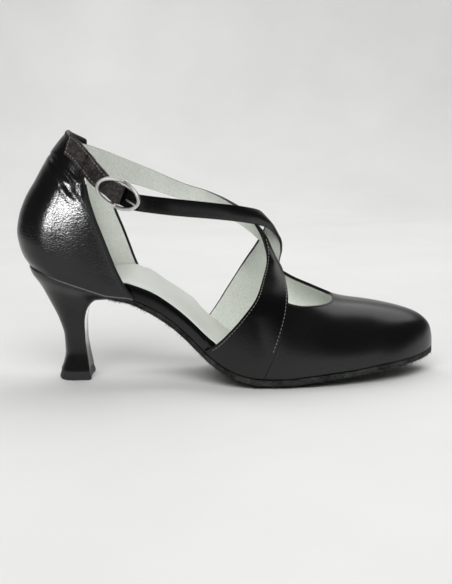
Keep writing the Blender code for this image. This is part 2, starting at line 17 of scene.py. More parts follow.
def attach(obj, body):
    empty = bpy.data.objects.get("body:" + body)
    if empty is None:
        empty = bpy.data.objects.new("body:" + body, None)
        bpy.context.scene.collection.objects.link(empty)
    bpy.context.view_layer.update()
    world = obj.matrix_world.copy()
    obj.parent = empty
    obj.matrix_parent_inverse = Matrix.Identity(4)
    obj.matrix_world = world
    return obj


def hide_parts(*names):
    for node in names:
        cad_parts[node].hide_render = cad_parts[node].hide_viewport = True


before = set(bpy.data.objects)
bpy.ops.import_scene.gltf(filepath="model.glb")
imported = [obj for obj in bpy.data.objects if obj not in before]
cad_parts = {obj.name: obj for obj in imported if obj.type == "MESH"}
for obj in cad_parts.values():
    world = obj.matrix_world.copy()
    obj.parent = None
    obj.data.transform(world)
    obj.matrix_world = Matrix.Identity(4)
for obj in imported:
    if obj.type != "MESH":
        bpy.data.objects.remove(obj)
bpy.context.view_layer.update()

bl_info = {
    "name": "Ballroom dance shoe",
    "version": (1, 0, 0),
    "blender": (4, 5, 0),
    "location": "3D View > Sidebar > Shoe",
    "description": "Builds a ballroom dance shoe on its packed frame",
    "category": "Object",
}

MM = 0.001
CENTRE = Vector((1.7, -0.6, 0.0))     # middle of the last's own axes in the shoe's frame
UP = Vector((0.0, 0.0, 1.0))

# The last, in millimetres from its middle
TOE_END = 119.4
SEAT_BACK = -109.0
SEAT_HEIGHT = 65.2         # the heel seat at its back
SEAT_SLOPE = -0.357
BREAST = -61.5             # front of the heel
BREAST_BLEND = 4.0         # run over which the lower edge passes from the seat to the sole
HEEL_RADIUS = 22.2         # rounding of the seat's back
LAST_POWER = 2.3           # roundness of the vamp's sections, 2 being an ellipse
GAP = 0.3                  # clear space between pieces that are glued on the real shoe
SOLE_CROWN = 1.8           # rise of the sole's edges
ARCH_LIFT = 4.0            # rise of its inner edge over the arch
ARCH_CENTRE = -28.0
ARCH_HALF_LENGTH = 34.0

# Vamp and throat
VAMP_BACK = 20.0
VAMP_LEAN = 6.0            # the vamp's crest starts this much further forward than its sides
VAMP_SIDES = 0.9           # share of the vamp's lower edge that runs along its sides
TOE_CLOSE = 0.005          # how near to the end of the toe a point counts as its rim
THROAT_FRONT = 61.9
THROAT_MARGIN = 0.05       # the sheet's top edge stops this far behind the throat's front
THROAT_BACK = 30.0
THROAT_OUTER = 28.2        # side places of the throat's edges
THROAT_INNER = 12.3
THROAT_LIMIT = 0.98        # widest place of the throat, as a share of the section's half width
THROAT_POWER = 1.55        # roundness of the throat, and of its nose
THROAT_NOSE = 0.33
THROAT_FLARE = 1.2         # widening behind these places, under the strap bases
THROAT_FLARE_OUTER = 31.5
THROAT_FLARE_INNER = 35.0
OVERLAY = 0.7              # a strap base stands this far out from the vamp

# Heel cup, its rim falling from the back to both front edges
CUP_TOP = 138.3
CUP_FALL_OUTER = 24.3
CUP_FALL_INNER = 19.5
RIM_POWER_OUTER = 1.5
RIM_POWER_INNER = 1.4
CUP_STEP_INNER = 5.0       # the inner rim drops behind the end of the outer strap
RIM_STEP = (0.38, 0.47)    # shares of the side between which it drops
CUP_INNER_DRAW = 0.65      # share of the widening that the inner side loses towards its rim
CUP_DRAW_RISE = (25.0, 60.0)   # heights over the foot between which it loses that share
CUP_FRONT_OUTER = -48.7
CUP_FRONT_INNER = -41.5
CUP_ROUND = 0.5            # share of each side that runs round the back
CUP_SINK = 1.9             # inward step of the outer strap where its curve touches the heel cup
COLLAR_STEP = 0.6          # the collar stands out this far from this height on
COLLAR_LOW = 126.5
COLLAR_RUN = 1.0
TAB_LIFT = 1.7             # the tab's outer face over the cup, clear of its rolled rim

# Dark grip inside the rim: shares round the cup and up it, and depth under its outer face
GRIP_FROM = 0.305
GRIP_TO = 0.62
GRIP_SLANT = 0.07          # its first edge leans back by this share
GRIP_LOW = 0.70
GRIP_TOP = 0.992
GRIP_DEPTH = 4.7
GRIP_LIP = 2.0             # depth of the grip's top edge, close under the rim
GRIP_LIP_SHARE = 0.3       # share of the grip's height over which it reaches its full depth

# Insole board and sock
BOARD_INSET = 2.3
BOARD_TOE_GAP = 0.8        # the board stops this much further back at the toe
BOARD_EVEN = 0.35          # share of the even spacing in the board's sections
BOARD_POWER = 0.3          # squareness of its sections
BOARD_UNDER_SOCK = 0.4     # the board's top lies this far under the sock
SOCK_INSET = 0.8
SOCK_NARROW = 0.3          # largest inset where the insole is narrow, as a share of its width
SOCK_END = 0.004           # share of the board's length that the sock leaves free at each end
SOCK_WALL = 0.0009         # in metres

# Outsole with its uneven edge and loose fibres
SOLE_POWER = 0.22          # squareness of its sections
SOLE_EVEN = 0.55           # share of the even spacing in the sole's sections
SOLE_TUCK = 2.0            # the sole's thin end goes in over the lip of the heel
RAGGED_DEPTH = 0.35
RAGGED_SCALE = 0.7
RAGGED_LAYERS = 3.0
RAGGED_POWER = 8           # keeps the unevenness to the edge
FIBRES = 900
FIBRE_SEED = 7
FIBRE_CROWD = 1.5          # crowds the fibres towards the waist
FIBRE_OUTER_SHARE = 0.6    # share of the fibres on the outer side
FIBRE_OUTER_RIM = (0.5, 0.56)  # where they are rooted, as shares round the sole's section
FIBRE_INNER_RIM = (0.94, 1.0)
FIBRE_DROOP = (-1.6, 0.2)  # lowest and highest aim
FIBRE_LENGTH = (0.6, 1.9)
FIBRE_RADIUS = 0.11
FIBRE_TAPER = 0.3          # radius of the tip as a share of the root's

# Heel and top piece
HEEL_LEVELS = 8
HEEL_BACK_LENGTH = 0.85    # roundness of the sections' back
HEEL_BACK_WIDTH = 0.9
BREAST_HOLLOW = 1.2
COVER_ROUND = 0.1          # the cover's top edge is drawn in by this much
COVER_ROUND_LEVEL = 0.05   # over this share of the first level
TIP_HEIGHT = 5.0
TIP_FLARE = 0.8
TIP_ROUND = 0.35           # rounding of the top piece's edges
TIP_OVERRUN = 0.02         # share of the sections that lie flat at each end of the top piece

# Buckle, in its own axes apart from its place: half axes of the ring and bow of its ends
BUCKLE_AT = (-54.6, -31.4, 106.2)
BUCKLE_TILT = -24.0        # degrees
BUCKLE_YAW = -15.0
RING_LONG = 12.2
RING_SHORT = 7.0
RING_BOW = 2.4
PRONG_START = 4.6
PRONG_PAST = 0.5           # the prong ends this far past the ring's centre line
PRONG_SIDE = -1.2
PRONG_FOOT = 0.5           # height at which it comes out of the strap
PRONG_TAPER = 0.35         # share of its thickness that the prong loses along its length
PRONG_POINT = 6            # the last sixth of the prong is rounded off
PRONG_TIP = 0.02

# Rolled edges: ends as shares along and across the piece, radius, and depth of the middle
THROAT_BINDING = ((0.02, 1.0), (0.98, 1.0), 0.95, 0.75)
STRAP_GROOVE = ((0.0, 0.0), (0.28, 0.0), 0.4, 0.75)
SEAT_BEAD = ((0.01, 0.0), (0.99, 0.0), 0.5, 0.28)
COUNTER_BEADS = [
    ("counter_rim", (0.02, 1.0), (0.90, 1.0), 1.4, 0.9),
    ("outer_front_edge", (1.0, 0.015), (1.0, 0.955), 0.95, 0.75),
    ("inner_front_edge", (0.0, 0.015), (0.0, 0.985), 0.95, 0.75),
]

# Steps for normals and directions, as shares of a piece, and halvings in a search
FACING_STEP = 0.004
STRAP_STEP = 0.01
BEAD_STEP = 0.005
SEAM_STEPS = 60
SEAM_LIFT = 0.1            # stitches lie this far over the leather
THROAT_HALVINGS = 30
CUP_HALVINGS = 18
WELD = 1e-6                # metres


class Curve:
    """Smooth curve through points that never overshoots them."""

    def __init__(self, xs, ys):
        self.xs, self.ys = list(xs), list(ys)
        steps = [b - a for a, b in zip(self.xs, self.xs[1:])]
        slopes = [(b - a) / step for a, b, step in zip(self.ys, self.ys[1:], steps)]
        inner = []
        for left, right, before, after in zip(slopes, slopes[1:], steps, steps[1:]):
            w1, w2 = 2 * after + before, after + 2 * before
            inner.append((w1 + w2) / (w1 / left + w2 / right) if left * right > 0 else 0.0)
        self.tangents = [slopes[0], *inner, slopes[-1]]

    def __call__(self, x):
        k = min(max(bisect_right(self.xs, x) - 1, 0), len(self.xs) - 2)
        step = self.xs[k + 1] - self.xs[k]
        t = min(max((x - self.xs[k]) / step, 0.0), 1.0)
        s = 1 - t
        return ((1 + 2 * t) * s * s * self.ys[k] + t * s * s * step * self.tangents[k]
                + t * t * (3 - 2 * t) * self.ys[k + 1] - t * t * s * step * self.tangents[k + 1])


class Table:
    """Rows of named columns, each column read as a smooth curve over the first one."""

    def __init__(self, names, rows):
        keys, *columns = zip(*rows)
        for name, column in zip(names.split()[1:], columns):
            setattr(self, name, Curve(keys, column))


# Sections of the last: half widths, underside, and thickness of sole and insole
LAST = Table("x outer inner under sole board", [
    (-109.0, 22.2, 22.2, 65.2, 0.9, 4.5),
    (-88.0, 22.3, 22.3, 57.7, 0.9, 6.5),
    (-75.0, 22.4, 22.2, 53.1, 0.9, 7.0),
    (-61.0, 21.8, 21.6, 47.1, 1.8, 8.4),
    (-53.0, 21.2, 21.0, 44.8, 2.8, 9.0),
    (-45.0, 21.0, 20.5, 40.8, 3.6, 9.4),
    (-38.0, 21.0, 20.0, 36.6, 4.0, 9.8),
    (-29.0, 22.0, 19.2, 30.0, 4.2, 10.1),
    (-21.0, 24.0, 19.2, 22.8, 4.4, 10.7),
    (-15.0, 26.3, 19.8, 16.8, 4.5, 11.1),
    (-7.0, 30.3, 21.8, 9.6, 4.4, 11.0),
    (1.0, 33.9, 24.6, 5.0, 4.0, 9.5),
    (10.0, 36.8, 28.0, 1.6, 4.0, 6.8),
    (20.0, 38.1, 31.6, -0.2, 4.0, 4.2),
    (32.0, 38.1, 35.0, -0.5, 4.0, 3.6),
    (45.0, 37.3, 37.2, 0.4, 4.2, 3.4),
    (56.0, 35.7, 37.6, 1.5, 4.1, 3.3),
    (73.0, 31.8, 36.2, 3.1, 3.8, 3.2),
    (85.0, 27.8, 33.4, 4.7, 3.7, 3.1),
    (97.0, 21.8, 28.4, 6.2, 3.5, 3.0),
    (104.0, 16.6, 23.8, 7.3, 3.4, 3.0),
    (110.0, 10.8, 18.8, 8.2, 3.4, 3.0),
    (114.5, 5.4, 14.0, 9.0, 3.4, 3.0),
    (117.6, 0.4, 9.6, 9.5, 3.4, 3.0),
    (119.4, -3.6, 5.4, 9.9, 3.4, 3.0),
])
# Top line of the vamp
CREST = Table("x height", [
    (10.0, 97.0), (21.0, 83.0), (24.6, 75.5), (29.7, 65.4), (33.0, 61.0), (40.0, 55.6),
    (50.0, 50.3), (57.0, 46.9), (61.0, 45.2), (64.0, 44.2), (68.0, 43.2), (85.0, 40.4),
    (102.5, 36.2), (110.0, 33.2), (115.5, 29.0), (118.4, 24.2), (119.4, 19.0),
])
# Heel cup by height over its foot: shift of back and front, widening and drawing in
CUP = Table("rise back front widen draw", [
    (0.0, 0.0, 0.0, 0.00, 0.00),
    (6.5, -3.7, -5.4, 0.05, -0.06),
    (13.0, -5.5, -8.7, 0.08, -0.09),
    (18.5, -6.2, -11.0, 0.11, -0.10),
    (27.0, -4.8, -14.0, 0.15, -0.09),
    (37.0, -1.0, -17.5, 0.20, -0.04),
    (47.0, 5.1, -21.2, 0.24, 0.04),
    (57.0, 11.1, -24.0, 0.27, 0.14),
    (63.5, 15.9, -25.0, 0.27, 0.22),
    (69.0, 20.5, -25.7, 0.26, 0.28),
    (74.0, 25.2, -26.0, 0.25, 0.34),
])
# Heel sections from the seat down to the top piece
HEEL = Table("level back_x back_z front_x front_z half square", [
    (0, -109.2, 65.4, -61.5, 48.2, 22.3, 8.0),
    (1, -108.2, 61.8, -62.0, 46.9, 20.8, 8.0),
    (2, -103.6, 54.6, -70.4, 46.0, 16.4, 9.0),
    (3, -98.4, 44.0, -76.6, 39.6, 11.6, 9.0),
    (4, -93.9, 33.6, -78.3, 31.6, 8.8, 9.0),
    (5, -91.5, 24.4, -78.4, 23.8, 8.0, 9.0),
    (6, -91.2, 15.6, -77.6, 15.4, 8.4, 9.0),
    (7, -92.4, 9.4, -76.8, 9.4, 9.8, 9.0),
    (8, -94.0, 5.3, -76.2, 5.3, 11.2, 9.0),
])
# Padding under the arch along the last
ARCH_PAD = Curve((-82, -60, -50, -42, -33, -24, -14, -4, 20),
                 (0.0, 5.2, 5.7, 2.4, 0.0, 0.5, 2.3, 2.2, 0.0))
# Where the board goes in under the upper: towards heel and toe, and on its outer and inner side
BOARD_ENDS = Curve((-100, -80, 60, 100), (-1.0, 0.0, 0.0, 1.0))
OUTER_INSET = Curve((-54.0, -49.5, -12.6, -8.6), (1.0, 0.0, 0.0, 1.0))
INNER_INSET = Curve((-46.5, -42.5, -18.0, -14.0), (1.0, 0.0, 0.0, 1.0))
# Rise of the sole's edges along the last
CROWN_ALONG = Curve((-61, -20, 20, 80, 114), (0.0, 0.6, 1.0, 1.0, 0.0))

# Fineness of the meshes: sections along and across, or round and along
VAMP_MESH = (220, 56)
OUTER_STRAP_MESH = (260, 22)
INNER_STRAP_MESH = (300, 22)
COUNTER_MESH = (260, 130)
GRIP_MESH = (120, 30)
TAB_MESH = (150, 18)
BOARD_MESH = (240, 64)
SOCK_MESH = (220, 40)
SOLE_MESH = (120, 260)
HEEL_MESH = (144, 120)
TOP_PIECE_MESH = (144, 16)
RING_MESH = (144, 24)
BAR_MESH = (24, 6)
PRONG_MESH = (16, 24)
BEAD_MESH = (12, 180)
EDGE_SEGMENTS = 3
EDGE_ANGLE = 50.0          # cut edges sharper than this are rounded

# Creases of the counter under the tab: ends in x and z, half width and depth
CREASES = [
    ((-92.4, 125.6), (-80.5, 111.6), 1.7, 0.8),
    ((-89.4, 119.0), (-81.0, 105.0), 1.5, 0.5),
    ((-85.4, 122.4), (-76.6, 113.6), 1.2, 0.5),
    ((-82.6, 110.6), (-77.4, 101.8), 1.6, 0.3),
]
CREASE_START = (-0.25, 0.15)   # shares of its length over which a crease sets in and fades out
CREASE_END = (0.7, 1.2)
# The fold beside a crease: its place and width in half widths, its height as a share of the depth
RIDGE_OFF = 1.9
RIDGE_WIDTH = 1.2
RIDGE_HEIGHT = 0.7

# Straps, a row for each section: lower or front edge, upper or back edge, how far the middle
# stands out, and 1 where the strap lies on the vamp or -1 where it lies on the heel cup
STRAP_COLUMNS = "low_x low_y low_z high_x high_y high_z crown lies"
OUTER_STRAP = [
    (20.2, -38.0, 6.0, -11.7, -27.5, 20.0, 0.0, 1.0),
    (25.4, -38.0, 17.0, -4.5, -29.5, 24.6, 0.0, 1.0),
    (29.6, -36.0, 28.0, 3.5, -30.0, 32.6, 0.0, 1.0),
    (32.9, -31.0, 38.5, 10.6, -29.0, 41.0, 0.0, 1.0),
    (34.4, -25.8, 48.0, 16.6, -25.6, 48.8, 0.6, 0.8),
    (33.9, -18.6, 55.8, 20.6, -19.4, 57.2, 1.6, 0.2),
    (32.0, -8.5, 63.2, 23.4, -12.5, 65.0, 1.6, 0.0),
    (27.6, 0.5, 69.4, 23.8, -7.0, 73.2, 1.8, 0.0),
    (22.0, 8.5, 75.4, 21.0, -2.5, 82.6, 2.2, 0.0),
    (12.2, 18.0, 82.8, 14.4, 8.0, 91.4, 1.8, 0.0),
    (0.0, 26.5, 88.6, 3.0, 22.0, 98.0, 0.8, 0.0),
    (-12.0, 31.0, 93.6, -9.0, 30.0, 102.8, 0.4, 0.0),
    (-26.5, 33.0, 98.4, -23.0, 32.8, 107.2, 0.3, 0.0),
    (-46.5, 29.4, 105.6, -43.0, 29.8, 116.4, 0.3, 0.0),
    (-55.0, 25.4, 108.3, -51.8, 25.4, 120.5, 0.2, 0.0),
    (-63.5, 21.6, 111.0, -60.5, 20.9, 124.6, 0.0, 0.0),
    (-71.0, 18.9, 113.2, -68.4, 17.2, 128.0, 0.0, 0.0),
    (-79.0, 18.0, 114.6, -77.0, 14.2, 131.2, 0.0, 0.0),
    (-86.0, 16.6, 115.6, -83.0, 9.6, 133.4, 0.0, 0.0),
]
INNER_STRAP = [
    (22.0, 32.0, 6.0, -14.4, 20.5, 27.0, 0.0, 1.0),
    (24.5, 33.0, 19.0, -9.0, 22.5, 30.6, 0.0, 1.0),
    (28.4, 32.0, 31.0, -4.1, 24.5, 37.0, 0.0, 1.0),
    (31.4, 28.5, 42.5, 1.4, 25.5, 45.6, 0.0, 1.0),
    (32.0, 22.5, 51.6, 7.3, 23.8, 54.6, 1.0, 0.8),
    (32.6, 17.5, 61.0, 12.7, 19.5, 63.6, 2.2, 0.0),
    (33.8, 10.5, 69.6, 18.0, 14.0, 72.2, 2.6, 0.0),
    (32.6, 4.0, 77.0, 22.2, 7.5, 80.4, 2.8, 0.0),
    (27.6, -2.0, 82.2, 23.8, 2.5, 87.2, 2.4, 0.0),
    (20.8, -9.5, 85.6, 21.2, -5.5, 93.4, 1.6, 0.0),
    (11.8, -18.5, 88.4, 12.2, -17.2, 97.0, 0.8, 0.0),
    (-3.0, -27.0, 91.2, -2.6, -26.8, 99.9, 0.4, 0.0),
    (-26.6, -32.8, 94.2, -26.4, -32.8, 103.3, 0.3, 0.0),
    (-41.0, -33.2, 96.2, -40.6, -33.2, 105.2, 0.3, 0.0),
]
TAB = [
    (-85.0, -17.0, 127.0, -82.4, -8.5, 137.6, 0.0, -1.0),
    (-81.0, -20.6, 124.0, -77.6, -16.4, 134.8, 0.0, -1.0),
    (-75.9, -26.0, 118.4, -71.4, -22.4, 128.4, 0.0, 0.0),
    (-72.9, -27.2, 114.8, -67.4, -25.4, 123.8, 0.0, 0.0),
]
# Ends of the tab and the inner strap in the buckle's axes: middle, half width, turn, outer face
TAB_AT_BUCKLE = [
    (-15.0, 3.2, 5.3, -20.0, -0.2),
    (-10.6, 1.7, 4.9, -17.0, 0.2),
    (-6.5, 0.8, 4.7, -11.0, 0.7),
    (-2.8, 0.2, 4.9, -4.0, 2.0),
    (0.0, 0.0, 5.1, 0.0, 2.7),
    (2.6, 0.0, 5.0, 0.0, 2.3),
]
STRAP_AT_BUCKLE = [
    (10.4, -0.4, 4.6, 20.0, 0.2),
    (6.1, -0.9, 4.9, 13.0, -0.6),
    (1.5, -0.6, 5.1, 3.0, -1.1),
    (-4.0, 0.0, 4.9, -9.0, -1.1),
    (-9.0, 1.3, 4.4, -17.0, -0.7),
    (-13.5, 2.7, 4.4, -18.0, -0.6),
]


def clamp(value, low=0.0, high=1.0):
    return min(high, max(low, value))


def smooth(low, high, value):
    """0 below low, 1 above high and an even S-curve between."""
    t = clamp((value - low) / (high - low))
    return t * t * (3 - 2 * t)


def sign(value):
    return 1.0 if value >= 0 else -1.0


def seat(x):
    """Height of the heel seat, a sloping plane."""
    return SEAT_HEIGHT + SEAT_SLOPE * (x - SEAT_BACK)


def outline(x):
    """Outer and inner edge of the feather line, where upper and sole meet."""
    behind = max(0.0, SEAT_BACK + HEEL_RADIUS - x)
    outer, inner = LAST.outer(x), LAST.inner(x)
    if behind > 0:
        rounded = max(0.0, HEEL_RADIUS ** 2 - behind ** 2) ** 0.5
        outer, inner = min(outer, rounded), min(inner, rounded)
    return -outer, inner


def cross_rise(x, y):
    """Rise of sole and insole towards their edges and over the arch."""
    if x <= SEAT_BACK + HEEL_RADIUS:
        return 0.0
    outer, inner = outline(x)
    across = y / (inner if y > 0 else -outer)
    arch = max(0.0, 1.0 - ((x - ARCH_CENTRE) / ARCH_HALF_LENGTH) ** 2) ** 2 if y > 0 else 0.0
    return SOLE_CROWN * CROWN_ALONG(x) * across ** 4 + ARCH_LIFT * arch * across ** 2


def sole_under(x, y):
    return max(0.0, LAST.under(x) + cross_rise(x, y))


def sole_over(x, y):
    return sole_under(x, y) + LAST.sole(x)


def feather(x, y):
    """Lower edge of the upper: on the sole in front and on the heel seat behind."""
    blend = clamp((x - BREAST + BREAST_BLEND) / BREAST_BLEND)
    return (seat(x) * (1 - blend) + sole_over(x, y) * blend) + GAP


def last_side(x, z, inner):
    """Side place of the vamp at a height, on its outer or its inner side."""
    low, high = outline(x)
    edge = high if inner else low
    middle = (low + high) / 2
    base = feather(x, edge)
    share = clamp((z - base) / (CREST.height(x) - base))
    return middle + (edge - middle) * (1 - share ** 2) ** (1 / LAST_POWER)


def vamp_at(x, turn):
    """Point of the vamp at a length and a turn from the outer feather line over to the inner."""
    low, high = outline(x)
    side = cos(turn)
    y = (low + high) / 2 - (high - low) / 2 * sign(side) * abs(side) ** (2 / LAST_POWER)
    base = feather(x, low if turn < pi / 2 else high)
    return x, y, base + (CREST.height(x) - base) * sin(turn)


def throat_edge(x, inner):
    """Side place of the throat's edge, wider where the strap bases cover it."""
    ahead = max(0.0, (x - THROAT_BACK) / (THROAT_FRONT - THROAT_BACK))
    share = max(0.0, 1 - ahead ** THROAT_POWER) ** THROAT_NOSE
    if inner:
        return THROAT_INNER * share + THROAT_FLARE * max(0.0, THROAT_FLARE_INNER - x)
    return -THROAT_OUTER * share - THROAT_FLARE * max(0.0, THROAT_FLARE_OUTER - x)


def throat_turn(x, inner):
    """Turn at which the vamp's section meets the throat."""
    low, high = outline(x)
    across = (throat_edge(x, inner) - (low + high) / 2) / ((high - low) / 2)
    across = clamp(across, -THROAT_LIMIT, THROAT_LIMIT)
    side = -sign(across) * abs(across) ** (LAST_POWER / 2)
    near, far = 0.0, pi
    for _ in range(THROAT_HALVINGS):
        middle = (near + far) / 2
        if cos(middle) > side:
            near = middle
        else:
            far = middle
    return near


def cup_column(part, inner):
    """Foot of the heel cup and the height of its rim, part running from the back to the front."""
    turn = min(1.0, part / CUP_ROUND) * pi / 2
    straight = max(0.0, (part - CUP_ROUND) / (1 - CUP_ROUND))
    front = CUP_FRONT_INNER if inner else CUP_FRONT_OUTER
    x = SEAT_BACK + HEEL_RADIUS * (1 - cos(turn)) + (front - SEAT_BACK - HEEL_RADIUS) * straight
    y = outline(x)[1 if inner else 0]
    fall = CUP_FALL_INNER if inner else CUP_FALL_OUTER
    fall *= part ** (RIM_POWER_INNER if inner else RIM_POWER_OUTER)
    step = CUP_STEP_INNER * smooth(*RIM_STEP, part) if inner else 0.0
    return x, y, feather(x, y), CUP_TOP - fall - step


def cup_point(part, inner, rise):
    """Point of the heel cup at a height over its foot."""
    x, y, base, _ = cup_column(part, inner)
    front = part ** 2
    x += CUP.back(rise) * (1 - front) + CUP.front(rise) * front
    widen = CUP.widen(rise)
    if inner:
        widen *= 1 - CUP_INNER_DRAW * smooth(*CUP_DRAW_RISE, rise)
    y *= 1 + widen * front - CUP.draw(rise) * (1 - front)
    return x, y, base + rise


def cup(u, v):
    """Heel cup: u runs from the inner front edge round the back to the outer one, v up."""
    part, inner = abs(1 - 2 * u), u < 0.5
    _, _, base, rim = cup_column(part, inner)
    return cup_point(part, inner, v * (rim - base))


def cup_side(x, z, inner):
    """Side place of the heel cup at a given x and height."""
    near, far = 0.0, 1.0
    for _ in range(CUP_HALVINGS):
        part = (near + far) / 2
        if cup_point(part, inner, z - cup_column(part, inner)[2])[0] < x:
            near = part
        else:
            far = part
    return cup_point(near, inner, z - cup_column(near, inner)[2])[1]


def through(rows, t):
    """Curve through table rows, t from 0 to 1."""
    place = t * (len(rows) - 1)
    k = min(int(place), len(rows) - 2)
    f = place - k
    quads = zip(rows[max(k - 1, 0)], rows[k], rows[k + 1], rows[min(k + 2, len(rows) - 1)])
    return [0.5 * (2 * b + (c - a) * f + (2 * a - 5 * b + 4 * c - d) * f * f
                   + (3 * b - a - 3 * c + d) * f ** 3) for a, b, c, d in quads]


def buckle_axes():
    """Buckle axes: x along the ring, y across it, z out from the ankle."""
    tilt, yaw = radians(BUCKLE_TILT), radians(BUCKLE_YAW)
    along = Vector((cos(tilt) * cos(yaw), sin(yaw), sin(tilt) * cos(yaw)))
    across = (UP - along * UP.dot(along)).normalized()
    axes = Matrix((along, across, along.cross(across))).transposed().to_4x4()
    axes.translation = Vector(BUCKLE_AT)
    return axes


def buckle_rows(ends):
    """Strap rows for a stretch of leather that is given in the buckle's axes."""
    axes = buckle_axes()
    rows = []
    for x, y, half, turn, out in ends:
        side = Vector((-sin(radians(turn)), cos(radians(turn)), 0.0)) * half
        middle = Vector((x, y, out))
        rows.append((*(axes @ (middle - side)), *(axes @ (middle + side)), 0.0, 0.0))
    return rows


def strap(rows, inner, cup_lift):
    """Point function of a strap: u along it, v across from its lower to its upper edge."""
    outward = 1.0 if inner else -1.0
    first = 1.0 / (len(rows) - 1)

    def edges(t, v):
        row = dict(zip(STRAP_COLUMNS.split(), through(rows, t)))
        low = Vector((row["low_x"], row["low_y"], row["low_z"]))
        high = Vector((row["high_x"], row["high_y"], row["high_z"]))
        return low.lerp(high, v), row

    def point(u, v):
        spot, row = edges(u, v)
        ahead = edges(min(u + STRAP_STEP, 1.0), v)[0] - edges(max(u - STRAP_STEP, 0.0), v)[0]
        across = edges(u, 1.0)[0] - edges(u, 0.0)[0]
        normal = (ahead.cross(across) * -outward).normalized()
        spot = spot + normal * row["crown"] * 4 * v * (1 - v)
        on_last, on_cup = clamp(row["lies"]), clamp(-row["lies"])
        if on_cup > 0:
            wall = cup_side(spot.x, spot.z, spot.y > 0)
            spot.y += (wall + sign(wall) * cup_lift - spot.y) * on_cup
        if on_last > 0:
            settle = max(0.0, 1 - u / first / 2) ** 2
            foot = edges(0.0, v)[0]
            spot.z += settle * (feather(foot.x, foot.y) - foot.z)
            spot.z = max(spot.z, feather(spot.x, spot.y) + GAP)
            spot.y += (last_side(spot.x, spot.z, inner) + outward * OVERLAY - spot.y) * on_last
        return spot

    return point


outer_strap_point = strap(OUTER_STRAP, False, -CUP_SINK)
inner_strap_turned = strap(INNER_STRAP + buckle_rows(STRAP_AT_BUCKLE), True, 0.0)
tab_point = strap(TAB + buckle_rows(TAB_AT_BUCKLE), False, TAB_LIFT)


def inner_strap_point(u, v):
    """Inner strap, with v turned round so that its outer face points out."""
    return inner_strap_turned(u, 1 - v)


def placed(spot):
    """Point of the last's millimetre axes in the shoe's frame."""
    return (Vector(spot) - CENTRE) * MM


def facing(point, u, v):
    """Unit normal of a point function, by small steps along u and v."""
    along = Vector(point(clamp(u + FACING_STEP), v)) - Vector(point(clamp(u - FACING_STEP), v))
    across = Vector(point(u, clamp(v + FACING_STEP))) - Vector(point(u, clamp(v - FACING_STEP)))
    return along.cross(across).normalized()


def sheet(point, along, across):
    """Grid with a UV map, each vertex put in place by point(u, v)."""
    builder = bmesh.new()
    builder.loops.layers.uv.new("UVMap")
    bmesh.ops.create_grid(builder, x_segments=along, y_segments=across, size=0.5, calc_uvs=True)
    for vert in builder.verts:
        vert.co = placed(point(vert.co.x + 0.5, vert.co.y + 0.5))
    return builder


def closed_tube(point, around, along, capped=True):
    """Tube of closed sections: u runs round each section and v along the tube."""
    builder = sheet(lambda u, v: point(u % 1.0, v), around, along)
    bmesh.ops.remove_doubles(builder, verts=builder.verts[:], dist=WELD)
    if capped:
        bmesh.ops.holes_fill(builder, edges=[edge for edge in builder.edges if edge.is_boundary])
    bmesh.ops.recalc_face_normals(builder, faces=builder.faces[:])
    return builder


def bead(point, start, end, radius, sink):
    """Rounded edge along a line of shares on a piece, its middle sunk below the surface."""

    def section(u, v):
        here, near, far = ([a + (b - a) * t for a, b in zip(start, end)]
                           for t in (v, max(v - BEAD_STEP, 0.0), min(v + BEAD_STEP, 1.0)))
        normal = facing(point, *here)
        along = Vector(point(*far)) - Vector(point(*near))
        across = normal.cross(along).normalized()
        turn = 2 * pi * u
        middle = Vector(point(*here)) - normal * sink
        return middle + (normal * cos(turn) + across * sin(turn)) * radius

    return closed_tube(section, *BEAD_MESH)


def add_piece(name, builder, finishes, node):
    """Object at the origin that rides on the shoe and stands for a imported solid."""
    mesh = bpy.data.meshes.new(name)
    builder.to_mesh(mesh)
    builder.free()
    mesh.shade_smooth()
    for finish in finishes:
        mesh.materials.append(finish)
    piece = bpy.data.objects.new(name, mesh)
    bpy.context.scene.collection.objects.link(piece)
    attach(piece, "root")
    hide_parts(node)
    return piece


def add_leather(name, builder, finishes):
    """Piece of the upper."""
    return add_piece(name, builder, finishes, "upper")


def leather_wall(piece, thickness, edge_round):
    """Leather thickness with its lining on the inside and a rounded painted edge."""
    wall = piece.modifiers.new("wall", "SOLIDIFY")
    wall.thickness = thickness
    wall.offset = -1.0
    wall.use_even_offset = True
    wall.material_offset = 1
    wall.material_offset_rim = 2
    edge = piece.modifiers.new("edge", "BEVEL")
    edge.width = edge_round
    edge.segments = EDGE_SEGMENTS
    edge.limit_method = "ANGLE"
    edge.angle_limit = radians(EDGE_ANGLE)


class Value:
    """Socket of a finish whose arithmetic adds Math nodes."""

    def __init__(self, finish, socket):
        self.finish = finish
        self.socket = socket

    def maths(self, operation, first, second):
        return self.finish.node("ShaderNodeMath", {"operation": operation}, {0: first, 1: second})

    def __add__(self, other):
        return self.maths("ADD", self, other)

    __radd__ = __add__

    def __sub__(self, other):
        return self.maths("SUBTRACT", self, other)

    def __rsub__(self, other):
        return self.maths("SUBTRACT", other, self)

    def __mul__(self, other):
        return self.maths("MULTIPLY", self, other)

    __rmul__ = __mul__


